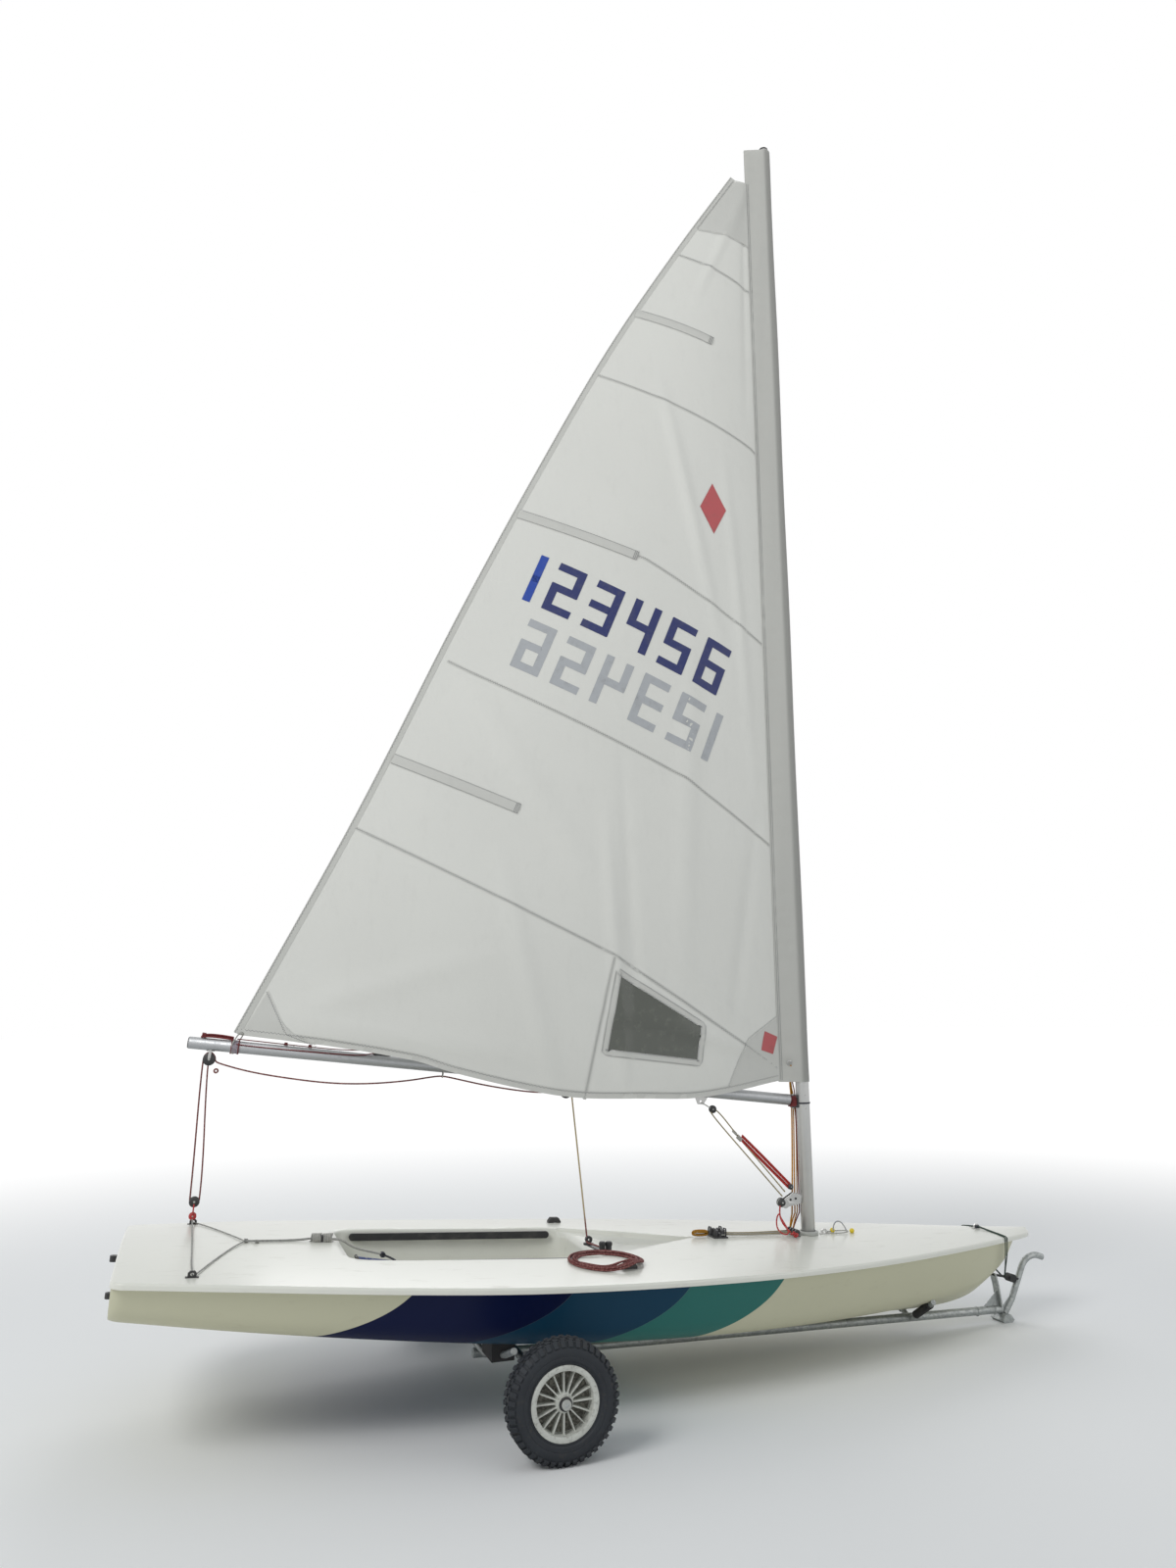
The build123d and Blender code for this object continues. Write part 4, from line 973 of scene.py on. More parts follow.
class OBJECT_OT_dinghy_stage(bpy.types.Operator):
    """Makes the floor, the backdrop and the lights"""
    bl_idname = "object.dinghy_stage"
    bl_label = "Stage"

    def execute(self, context):
        f = Finish("floor", Roughness=0.9, Emission_Strength=1.0, Specular_IOR_Level=0.2)
        x, y, _ = f.axes(f.place())
        far = f.step((x * x + y * y) ** 0.5, STAGE_NEAR, STAGE_FAR)
        f.wear(Base_Color=f.mix(far, (0.86, 0.86, 0.85), (0.0, 0.0, 0.0)))
        f.wear(Emission_Color=f.mix(far, (0.0, 0.0, 0.0), (1.0, 1.0, 1.0)))
        bm = bmesh.new()
        bmesh.ops.create_circle(bm, cap_ends=True, segments=96, radius=60)
        floor = obj("floor", mesh_of(bm, "floor"), f.material, None)
        scene = context.scene
        scene.view_settings.view_transform = "Standard"
        world = bpy.data.worlds.new("studio")
        scene.world = world
        world.use_nodes = True
        tree = world.node_tree
        light = tree.nodes["Background"]
        light.inputs["Color"].default_value = (0.90, 0.95, 1.0, 1)
        light.inputs["Strength"].default_value = 0.50
        back = tree.nodes.new("ShaderNodeBackground")
        back.inputs["Color"].default_value = (1, 1, 1, 1)
        back.inputs["Strength"].default_value = 1.0
        seen = tree.nodes.new("ShaderNodeLightPath")
        either = tree.nodes.new("ShaderNodeMath")
        either.operation = "ADD"
        either.use_clamp = True
        tree.links.new(seen.outputs["Is Camera Ray"], either.inputs[0])
        tree.links.new(seen.outputs["Is Glossy Ray"], either.inputs[1])
        blend = tree.nodes.new("ShaderNodeMixShader")
        tree.links.new(either.outputs[0], blend.inputs["Fac"])
        tree.links.new(light.outputs[0], blend.inputs[1])
        tree.links.new(back.outputs[0], blend.inputs[2])
        tree.links.new(blend.outputs[0], tree.nodes["World Output"].inputs["Surface"])
        for name, at, size, power in LAMPS:
            data = bpy.data.lights.new(name, "AREA")
            data.size, data.energy = size, power
            lamp = bpy.data.objects.new(name, data)
            lamp.matrix_world = facing(Vector(at), Vector(at) - Vector((0, 0, 1.8)))
            scene.collection.objects.link(lamp)
        return {"FINISHED"}


class OBJECT_OT_dinghy_hull(bpy.types.Operator):
    """Makes the hull's skin with its painted bands, and the deck with the cockpit let into it"""
    bl_idname = "object.dinghy_hull"
    bl_label = "Hull and deck"

    def execute(self, context):
        first, last = HULL[0].x, HULL[-1].x
        bm = bmesh.new()
        surface(bm, 96, 180, lambda u, v: hull_ring(stations(v, first, last), u))
        for x in (first, last):
            rim = [e for e in bm.edges if all(abs(v.co.x - x) < 1e-6 for v in e.verts)]
            ends = [v for e in rim for v in e.verts if sum(o in rim for o in v.link_edges) == 1]
            rim.append(bm.edges.new(ends))
            bmesh.ops.edgeloop_fill(bm, edges=rim)
        hull = obj("hull", mesh_of(bm, "hull", BOAT), striped_hull(), HULL_BODY, 50.0)
        skin = hull.modifiers.new("skin", "SOLIDIFY")
        skin.thickness, skin.offset = SKIN_T, -1
        settle(hull)
        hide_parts("hull_shell")

        bm = bmesh.new()
        surface(bm, 120, 220, lambda u, v: deck_ring(stations(v, SHEER[0].x, SHEER[-1].x), u))
        close_ends(bm)
        white = gelcoat("deck_gelcoat", tuple(context.scene.dinghy_colours.deck), (0.42, 0.40, 0.33))
        deck = obj("deck_moulding", mesh_of(bm, "deck_moulding", BOAT), white.material, HULL_BODY, 40.0)
        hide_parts("deck", "cockpit_liner")
        well = [(x, -y) for x, y in WELL] + [(x, y) for x, y in reversed(WELL)]
        rows = [(WELL_LEAN * WELL_FLOOR, WELL_FLOOR, False), (-WELL_LEAN * 0.03, -0.040, False)]
        for k in range(6):
            a = k / 5 * math.radians(80)
            rows.append((WELL_LIP * (1 - math.cos(a)), -WELL_LIP + WELL_LIP * math.sin(a), True))
        rows.append((WELL_LIP * 1.4, 0.03, True))
        vee = [(x, -y) for x, y in RECESS] + [(x, y) for x, y in reversed(RECESS)]
        cut(deck, cutter("vee_cut", vee, RECESS_ROUND, RECESS_WALL))
        cut(deck, cutter("well_cut", well, WELL_ROUND, rows))
        aft, fore, half = SLOT_X - SLOT_L / 2, SLOT_X + SLOT_L / 2, SLOT_W / 2
        box = [(aft, -half), (fore, -half), (fore, half), (aft, half)]
        for piece in (deck, hull):
            cut(piece, cutter("slot_cut", box, SLOT_W * 0.45, [(0, SLOT_LOW, False), (0, SLOT_HIGH, False)]))
        bm = bmesh.new()
        rod(bm, (0, 0, STEP_LOW), (0, 0, STEP_HIGH), STEP_R, 40)
        cut(deck, obj("step_cut", mesh_of(bm, "step_cut", MAST), [], None))
        return {"FINISHED"}


# The foot's drop below a straight line, at shares of the way to the clew
FOOT = [(0.0, 0.0), (0.176, 0.100), (0.30, 0.124), (0.414, 0.140), (0.50, 0.126), (0.638, 0.076),
        (0.70, 0.042), (0.85, 0.012), (1.0, 0.0)]
# Creases in the rig's plane: from, to, width and depth
Crease = namedtuple("Crease", "a0 h0 a1 h1 wide deep")
CREASES = [
    Crease(0.62, 4.05, 0.42, 3.05, 0.035, 0.010), Crease(0.98, 1.75, 0.93, 0.80, 0.030, 0.012),
    Crease(0.90, 2.00, 0.86, 1.10, 0.022, -0.008), Crease(0.30, 3.60, 0.20, 2.20, 0.030, 0.007),
    Crease(0.55, 2.60, 0.62, 1.30, 0.060, 0.009), Crease(0.12, 0.80, 0.95, 1.02, 0.030, 0.010),
    Crease(0.12, 0.74, 0.70, 1.30, 0.035, 0.008), Crease(2.45, 0.98, 1.55, 0.86, 0.040, 0.012),
    Crease(2.40, 1.02, 1.60, 1.25, 0.050, 0.008), Crease(1.25, 0.70, 1.45, 1.55, 0.045, 0.010),
    Crease(0.16, 5.45, 0.40, 4.90, 0.030, 0.008), Crease(0.14, 5.20, 0.16, 4.30, 0.022, -0.006),
    Crease(1.55, 2.40, 1.05, 1.60, 0.060, 0.007), Crease(0.20, 1.90, 0.34, 1.10, 0.030, -0.008),
]


def creased(a, h):
    """How far the creases push the cloth to starboard."""
    push = 0.0
    for c in CREASES:
        run = Vector((c.a1 - c.a0, c.h1 - c.h0))
        t = ((a - c.a0) * run.x + (h - c.h0) * run.y) / run.length_squared
        if -0.3 < t < 1.3:
            off = ((a - c.a0) * run.y - (h - c.h0) * run.x) / run.length
            ends = max(0.0, 1 - (2 * t - 1) ** 2 / 2.56)
            push += c.deep * ends * math.exp(-(off / c.wide) ** 2)
    return push * bpy.context.scene.dinghy_sizes.crease


def sail_point(luff, v):
    """The sail at a luff height and a share of the way to the leech: aft, up and off to starboard."""
    leech, leech_h, belly, drop = (fair(SAIL, luff, k) for k in range(1, 5))
    a = LUFF + (leech - LUFF) * v
    h = luff + (leech_h - luff) * v - fair(FOOT, v, 1) * drop
    profile = 4 * v * (1 - v) * (1.22 - 0.44 * v)
    edge = min(1.0, v * 9) * min(1.0, (1 - v) * 9)
    return a, h, belly * profile + creased(a, h) * edge


# Lines on the sail, in the rig's plane: aft of the mast, up
SEAMS = [
    [(0.521, 5.075), (0.10, 4.895)], [(0.979, 4.284), (0.150, 3.956), (0.10, 3.92)],
    [(1.398, 3.462), (0.764, 3.237), (0.10, 2.852)],
    [(1.735, 2.665), (1.625, 2.608), (0.585, 2.118), (0.10, 1.805)],
    [(2.136, 1.843), (0.969, 1.274), (0.10, 0.731)], [(0.964, 1.260), (1.112, 0.640)],
]
BATTENS = [[(0.771, 4.683), (0.360, 4.538)], [(1.398, 3.462), (0.806, 3.249)],
           [(1.979, 2.176), (1.399, 1.939)]]
WINDOW = [(0.937, 1.183), (0.542, 0.951), (0.565, 0.790), (1.005, 0.844)]
HEAD_PATCH = [(0.10, 5.60), (0.185, 5.595), (0.405, 5.255), (0.10, 5.19)]
CLEW_PATCH = [(2.585, 0.928), (2.482, 1.113), (2.393, 0.935), (2.263, 0.882)]
TACK_PATCH = [(0.10, 0.695), (0.10, 0.990), (0.290, 0.880), (0.400, 0.672)]
LABEL_PATCH = [(0.193, 0.921), (0.119, 0.893), (0.150, 0.813), (0.221, 0.834)]
MARK = [(0.392, 3.700), (0.318, 3.560), (0.392, 3.420), (0.466, 3.560)]
# Bars of a block digit: from, to, in widths and heights of the digit
BARS = {"a": ((0, 1), (1, 1)), "b": ((1, 1), (1, 0.5)), "c": ((1, 0.5), (1, 0)), "d": ((0, 0), (1, 0)),
        "e": ((0, 0.5), (0, 0)), "f": ((0, 1), (0, 0.5)), "g": ((0, 0.5), (1, 0.5))}
DIGITS = {"1": "bc", "2": "abged", "3": "abgcd", "4": "fgbc", "5": "afgcd", "6": "afgedc"}
DIGIT_W, DIGIT_H, DIGIT_BAR, DIGIT_PITCH = 0.105, 0.225, 0.040, 0.206
# Rows of numbers: name, digits, lower left corner, way along, way up, faces
NUMBERS = [
    ("number_starboard", "123456", (1.455, 3.045), (-0.911, -0.412), (-0.380, 0.925), (1,)),
    ("number_port", "123456", (0.385, 2.190), (0.911, 0.412), (-0.380, 0.925), (-1,)),
]
CLOTH_T, CLOTH_FLAT, CLOTH_MAP = 0.0012, (2.76, 5.45), 6.0


def strip(bm, probe, line, wide, lift, step=0.03, swing=0.0, shift=0.0, sides=(1, -1), across=1, swell=0.0):
    """A ribbon on the sail's faces along a line in the rig's plane; swing makes it a zigzag."""
    line = [Vector(p) for p in line]
    runs = [(b - a).length for a, b in zip(line, line[1:])]
    total = sum(runs)
    steps = max(2, round(total / step))
    for side in sides:
        def place(u, v):
            left, k = v * total, 0
            while k < len(runs) - 1 and left > runs[k]:
                left, k = left - runs[k], k + 1
            run = (line[k + 1] - line[k]) / runs[k]
            out = Vector((run.y, -run.x))
            wave = swing * (1 if round(v * steps) % 2 else -1)
            a, h = line[k] + run * left + out * ((u - 0.5) * wide + wave + shift)
            return on_sail(probe, a, h, side * (lift + swell * (1 - (2 * u - 1) ** 2)))
        surface(bm, across, steps, place)


def patch(bm, probe, corners, lift, sides=(1, -1)):
    """A four-cornered piece of cloth laid on the sail's faces."""
    a, b, c, d = [Vector(p) for p in corners]
    for side in sides:
        def place(u, v):
            spot = a.lerp(b, u).lerp(d.lerp(c, u), v)
            return on_sail(probe, spot.x, spot.y, side * lift)
        surface(bm, 10, 12, place)


def on_sail(probe, a, h, lift):
    """A point on the sail's face, lifted off it to starboard, in the rig's frame."""
    start = Vector((-a, -1.0, h))
    hit = probe.ray_cast(start, Vector((0, 1, 0)))[0]
    if hit is None:
        hit = probe.find_nearest(Vector((-a, 0.0, h)))[0]
    return Vector((-a, hit.y - lift, h))


def map_cloth(bm):
    """Gives faces in the rig's frame one map for cloth and trims: place aft of the mast and height."""
    layer = bm.loops.layers.uv.verify()
    for face in bm.faces:
        for loop in face.loops:
            loop[layer].uv = (-loop.vert.co.x / CLOTH_MAP, loop.vert.co.z / CLOTH_MAP)


def on_rig(name, bm, finish):
    """Hangs a trim of the sail on the mast."""
    map_cloth(bm)
    piece = obj(name, mesh_of(bm, name, MAST, outward=False), look(finish), "mast", 180.0)


def draw_digits(bm, probe, digits, start, run, lean, lift, sides):
    """Block digits on the sail, each given with its place in the number."""
    for k, digit in digits:
        corner = Vector(start) + Vector(run) * DIGIT_PITCH * k
        for name in DIGITS[digit]:
            a, b = (corner + Vector(run) * u * DIGIT_W + Vector(lean) * v * DIGIT_H for u, v in BARS[name])
            reach = (b - a).normalized() * DIGIT_BAR * 0.45
            strip(bm, probe, [a - reach, b + reach], DIGIT_BAR, lift, sides=sides)


def in_plane(point):
    """A point's place in the rig's plane: aft of the mast, up."""
    return Vector((-point.x, point.z))


class OBJECT_OT_dinghy_sail(bpy.types.Operator):
    """Makes the sail as one curved sheet with its window, seams, battens and numbers"""
    bl_idname = "object.dinghy_sail"
    bl_label = "Sail"

    def execute(self, context):
        bm = bmesh.new()
        low, high = SAIL[0].luff, SAIL[-1].luff

        def place(u, v):
            a, h, off = sail_point(low + (high - low) * v, u)
            return Vector((-a, -off, h))

        surface(bm, 96, 200, place)
        probe = BVHTree.FromBMesh(bm)
        hole = [Vector(p) for p in WINDOW]
        middle = sum(hole, Vector((0, 0))) / len(hole)
        near = {f for f in bm.faces if (in_plane(f.calc_center_median()) - middle).length < 0.34}
        for a, b in zip(hole, hole[1:] + hole[:1]):
            parts = (list(near) + list({e for f in near for e in f.edges})
                     + list({v for f in near for v in f.verts}))
            made = bmesh.ops.bisect_plane(bm, geom=parts, plane_co=(-a.x, 0, a.y),
                                          plane_no=(b.y - a.y, 0, b.x - a.x))
            near = {g for g in made["geom"] if isinstance(g, bmesh.types.BMFace)}
        for face in near:
            spot = in_plane(face.calc_center_median())
            turns = [(b - a).cross(spot - a) for a, b in zip(hole, hole[1:] + hole[:1])]
            face.material_index = 1 if min(turns) > 0 or max(turns) < 0 else 0
        map_cloth(bm)
        mesh = mesh_of(bm, "sail_cloth", MAST)
        sail = obj("sail_cloth", mesh, [look("sailcloth"), look("window_film")], "mast", 180.0)
        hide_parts("sail")
        area = sum(p.area for p in sail.data.polygons)

        leech = [sail_point(low + (high - low) * k / 60, 1.0)[:2] for k in range(61)]
        foot = [sail_point(low, k / 60)[:2] for k in range(61)]
        hem = [hole[k].lerp(middle, -0.05) for k in range(4)]
        hem.append(hem[0])
        bm = bmesh.new()
        for line in SEAMS:
            strip(bm, probe, line, 0.016, CLOTH_T * 0.9)
        strip(bm, probe, leech, 0.030, CLOTH_T * 1.2, shift=0.015)
        strip(bm, probe, foot, 0.030, CLOTH_T * 1.2, shift=-0.015)
        strip(bm, probe, hem, 0.030, CLOTH_T * 1.6)
        for corners in (HEAD_PATCH, CLEW_PATCH, TACK_PATCH):
            patch(bm, probe, corners, CLOTH_T * 1.5)
        for line in BATTENS:
            strip(bm, probe, line, 0.052, CLOTH_T * 1.4, across=6, swell=0.003)
        on_rig("sail_seams", bm, "sail_tape")

        bm = bmesh.new()
        for line in SEAMS:
            strip(bm, probe, line, 0.0016, CLOTH_T * 1.5, step=0.006, swing=0.0040)
        strip(bm, probe, leech, 0.0014, CLOTH_T * 1.9, step=0.008, swing=0.0030, shift=0.024)
        strip(bm, probe, foot, 0.0014, CLOTH_T * 1.9, step=0.008, swing=0.0030, shift=-0.024)
        for shift in (-0.012, 0.012):
            strip(bm, probe, hem, 0.0014, CLOTH_T * 2.3, step=0.006, swing=0.0025, shift=shift)
        for corners in (HEAD_PATCH, CLEW_PATCH, TACK_PATCH):
            strip(bm, probe, corners[1:], 0.0014, CLOTH_T * 2.2, step=0.006, swing=0.0028, shift=-0.008)
        for line in BATTENS:
            for shift in (-0.023, 0.023):
                strip(bm, probe, line, 0.0014, CLOTH_T * 2.4, step=0.006, swing=0.0012, shift=shift)
            end, way = Vector(line[1]), (Vector(line[1]) - Vector(line[0])).normalized()
            aside = Vector((way.y, -way.x)) * 0.024
            for back in (0.004, 0.012, 0.020):
                strip(bm, probe, [end - aside - way * back, end + aside - way * back], 0.0016, 0.0065,
                      step=0.004, swing=0.0010)
        on_rig("sail_stitching", bm, "stitch_thread")

        for name, text, start, run, lean, sides in NUMBERS:
            digits = list(enumerate(text))
            for finish, row in (("digit_bright", digits[:1]), ("digit_blue", digits[1:])):
                bm = bmesh.new()
                draw_digits(bm, probe, row, start, run, lean, CLOTH_T + 0.0004, sides)
                on_rig(name + "_" + finish, bm, finish)
            # Grey copies of the digits on the other face: painted shadow of those digits, seen through the
            # cloth
            bm = bmesh.new()
            draw_digits(bm, probe, digits, start, run, lean, CLOTH_T * 0.75, tuple(-n for n in sides))
            on_rig(name + "_seen_through", bm, "digit_shadow_through")
        bm = bmesh.new()
        patch(bm, probe, LABEL_PATCH, CLOTH_T * 2.4, sides=(1,))
        patch(bm, probe, MARK, CLOTH_T * 1.4)
        on_rig("sail_mark_and_tab", bm, "patch_red")
        return {"FINISHED"}


SLEEVE_R, SLEEVE_AFT, SLEEVE_LOW, SLEEVE_HIGH, SLEEVE_FLANK = 0.0352, 0.119, 0.683, 5.817, 0.36
SLEEVE_RUN, SLEEVE_HEM, SLEEVE_EDGE = 5.134, 1.01, 0.0023
STITCHES, STITCH_RUN, STITCH_LINES = 900, 4.90, (0.112, 0.104)


class OBJECT_OT_dinghy_sleeve(bpy.types.Operator):
    """Makes the sleeve that holds the sail on the mast, puckered along its stitching"""
    bl_idname = "object.dinghy_sleeve"
    bl_label = "Luff sleeve"

    def execute(self, context):
        touch = math.acos(SLEEVE_R / SLEEVE_AFT)

        def place(u, v):
            h = SLEEVE_LOW + (SLEEVE_HIGH - SLEEVE_LOW) * v
            s, side = abs(2 * u - 1), (1 if u < 0.5 else -1)
            rise = min(1.0, v * 40, (1 - v) * 60)
            pucker = 0.0013 * math.sin(h * 61 + 2.5 * math.sin(h * 9)) * s * rise
            fold = 0.0012 * math.sin(h * 4.1 + side * 1.3 + s * 7) * rise
            if s > SLEEVE_FLANK:
                t = (s - SLEEVE_FLANK) / (1 - SLEEVE_FLANK)
                start = Vector((SLEEVE_R * math.cos(touch), SLEEVE_R * math.sin(touch)))
                a, off = start.lerp(Vector((SLEEVE_AFT, SLEEVE_EDGE)), t)
                off += (pucker + fold * 1.6) * 4 * t * (1 - t) + pucker * 0.4 * (1 - t)
            else:
                angle = math.pi - (math.pi - touch) * s / SLEEVE_FLANK
                r = SLEEVE_R + fold * (1.0 if h < 2.5 else 1.4)
                a, off = r * math.cos(angle), r * math.sin(angle)
            lean = 0.0
            if s > SLEEVE_FLANK and SAIL[0].luff < h < SAIL[-1].luff:
                lean = sail_point(h, 0.003)[2] * (s - SLEEVE_FLANK) / (1 - SLEEVE_FLANK)
            return Vector((-a, -off * side - lean, h))

        bm = bmesh.new()
        surface(bm, 56, 620, place)
        sleeve = add("sleeve_cloth", bm, "sleeve", "mast", smooth=180.0, node="luff_sleeve", matrix=MAST)
        area = sum(p.area for p in sleeve.data.polygons)
        bm = bmesh.new()
        for side in (1, -1):
            for a in STITCH_LINES:
                def stitch(u, v):
                    h = SLEEVE_LOW + 0.01 + STITCH_RUN * v
                    swing = 0.0016 * (1 if round(v * STITCHES) % 2 else -1)
                    spread = SLEEVE_EDGE + (SLEEVE_AFT - a) * SLEEVE_R / SLEEVE_AFT
                    off = side * (spread + 0.0012) + sail_point(max(h, SAIL[0].luff), 0.003)[2] * 0.9
                    return Vector((-a - swing - (u - 0.5) * 0.0013, -off, h))
                surface(bm, 1, STITCHES, stitch)
        on_rig("sleeve_stitching", bm, "stitch_thread")
        return {"FINISHED"}


# Rigid nodes whose own shape is dressed with rounded edges: node, finish, width of the rounding
DRESSED_DECK = [
    ("grab_rails", "black_plastic", 0.0025), ("side_cleats", "black_plastic", 0.0015),
    ("traveller_fairleads", "black_plastic", 0.0012), ("traveller_cleat", "black_plastic", 0.0015),
    ("control_cleats", "black_plastic", 0.0012), ("gudgeon_upper", "black_plastic", 0.0015),
    ("gudgeon_lower", "black_plastic", 0.0015), ("mainsheet_deck_block", "black_plastic", 0.0012),
    ("mast_step_ring", "grey_plastic", 0.0020), ("mast_base_blocks", "black_plastic", 0.0012),
    ("deck_eye", "stainless", 0.0008), ("bow_eye", "stainless", 0.0008),
]
DRESSED_RIG = [
    ("mast_collar", "black_plastic", 0.0015), ("mast_cap", "black_plastic", 0.0020),
    ("gooseneck_bracket", "black_plastic", 0.0015), ("gooseneck_pin", "stainless", 0.0006),
    ("boom_end_plug", "black_plastic", 0.0020), ("vang_boom_key", "stainless", 0.0012),
    ("vang_cleat", "stainless", 0.0010), ("outhaul_cleat", "black_plastic", 0.0015),
    ("clew_strap", "strap_grey", 0.0006),
]
DRESSED_TROLLEY = [
    ("trolley_spine", "galvanised", 0.0), ("trolley_axle", "galvanised", 0.0008),
    ("axle_saddle", "galvanised", 0.0020), ("trolley_handle", "galvanised", 0.0006),
    ("trolley_foot", "galvanised", 0.0015), ("aft_cradle", "galvanised", 0.0015),
    ("bow_cradle", "galvanised", 0.0015), ("bow_post", "galvanised", 0.0012),
    ("bow_gusset", "galvanised", 0.0008), ("aft_pads", "black_rubber", 0.0040),
    ("bow_pads", "black_rubber", 0.0030), ("bow_snubber", "black_rubber", 0.0025),
    ("axle_caps", "grey_plastic", 0.0020),
]


def screw(bm, matrix, r=0.004):
    """A domed screw head with a cross cut in it, its top along the matrix's z."""
    turned(bm, [(0.0, r * 0.45), (r * 0.5, r * 0.40), (r * 0.85, r * 0.22), (r, 0.0), (r, -r * 0.4),
           (0.0, -r * 0.4)], matrix, steps=14, closed=False)
    for turn in (0, 90):
        bar(bm, (r * 1.2, r * 0.22, r * 0.14), matrix @ spun(turn, "Z")
            @ moved(0, 0, r * 0.43))


def block_parts(cheeks, wheel, matrix, r, width):
    """A sheave between two domed cheeks with a pin: the matrix's z runs along the pin."""
    for side in (1, -1):
        face = matrix @ Matrix.Diagonal((1, 1, side, 1))
        turned(cheeks, [(0.0, width * 0.50), (r * 0.30, width * 0.50), (r * 0.55, width * 0.47),
               (r * 0.85, width * 0.38), (r, width * 0.27), (r, width * 0.20), (r * 0.9, width * 0.18),
               (0.0, width * 0.18)], face, steps=32, closed=False)
        turned(wheel, [(0.0, width * 0.56), (r * 0.16, width * 0.55), (r * 0.2, width * 0.50),
               (r * 0.2, width * 0.4)], face, steps=20, closed=False)
    turned(wheel, [(r * 0.15, width * 0.17), (r * 0.88, width * 0.17), (r * 0.74, width * 0.05),
           (r * 0.74, -width * 0.05), (r * 0.88, -width * 0.17), (r * 0.15, -width * 0.17)], matrix,
           steps=32)


def made_block(name, matrix, r, width, body, cheek="black_plastic"):
    """The two pieces of a block, its cheeks standing for the node of the same name where there is one."""
    cheeks, sheave = bmesh.new(), bmesh.new()
    block_parts(cheeks, sheave, matrix, r, width)
    add(name + "_cheeks", cheeks, cheek, body, 50.0,
        name if name in frame["nodes"] else None)
    add(name + "_sheave", sheave, "grey_plastic", body, 50.0)


def tube_piece(node, r, start, length, matrix, finish):
    """A round tube with softened rims, standing for its node."""
    bm = bmesh.new()
    end, bore, edge = start + length, r - TUBE_WALL, r - TUBE_SOFT
    turned(bm, [(bore, start), (edge, start), (r, start + TUBE_SOFT), (r, end - TUBE_SOFT), (edge, end),
           (bore, end)], matrix, steps=56)
    add(node + "_drawn", bm, finish, frame["nodes"][node]["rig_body"], smooth=50.0, node=node)


def line_piece(name, points, r, finish, body=HULL_BODY, matrix=None, closed=False):
    """A rope in its body's place, or in the matrix's."""
    rope(name, points, r, look(finish), body, matrix, closed)


def across(name, points, r, finish, bodies):
    """A rope from one body to another, its points given at rest in the whole object's frame."""
    piece = rope(name, points, r, look(finish), None, Matrix())
    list(bodies)
    tuple(points[0])
    tuple(points[-1])
    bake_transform(piece)


def winding(name, matrix, radius, turns, r, finish, body=HULL_BODY, squash=1.0):
    """Rope wound round something: the matrix's z is the axis."""
    points = []
    for k in range(int(turns * 10) + 1):
        t = k / 10
        angle, out = 2 * math.pi * t, radius * WINDING_CHORD
        points.append((out * math.cos(angle), out * squash * math.sin(angle), (t - turns / 2) * 2 * r))
    line_piece(name, points, r, finish, body, matrix)


TUBE_WALL, TUBE_SOFT = 0.002, 0.0006
WINDING_CHORD = 1.05
AFT_CLEAT_X, CAM_X, BLOCKS_X = 0.752, 2.510, 2.900
JAM_X, JAM_Y, JAM_RIBS = 1.906, -0.176, 14
# Sections of small fittings: radius and height, and the guide over a cam in y and z
STEP_RING = [(0.0345, -0.004), (0.0345, 0.0105), (0.037, 0.0115), (0.0425, 0.0105), (0.0450, 0.006),
             (0.0450, -0.004)]
CAM_HOOP = [
    (-0.0165, 0.004), (-0.0165, 0.030), (-0.011, 0.041), (0.011, 0.041), (0.0165, 0.030), (0.0165, 0.004),
    (0.0125, 0.004), (0.0115, 0.028), (0.0075, 0.036), (-0.0075, 0.036), (-0.0115, 0.028), (-0.0125, 0.004),
]
FAIRLEAD_X, FAIRLEAD_Y = 0.262, 0.500
TRAVELLER_X, TRAVELLER_Y, SPAN_ACROSS = 0.256, 0.462, (0.36, 0.22, 0.0, -0.22, -0.36)
BOOM_START, END_BLOCK_X, MID_BLOCK_X = -0.070, -2.720, -1.155
CLEW_X, OUTHAUL_X = -2.623, -2.000
BOOM_R, BLOCK_R, BLOCK_W, BLOCK_DROP = 0.0254, 0.026, 0.020, 0.036
SIDEWAYS = spun(90, "X")


def on_boat(x, y, z):
    return BOAT @ Vector((x, y, z))


def on_boom(x, y, z):
    return BOOM @ Vector((x, y, z))


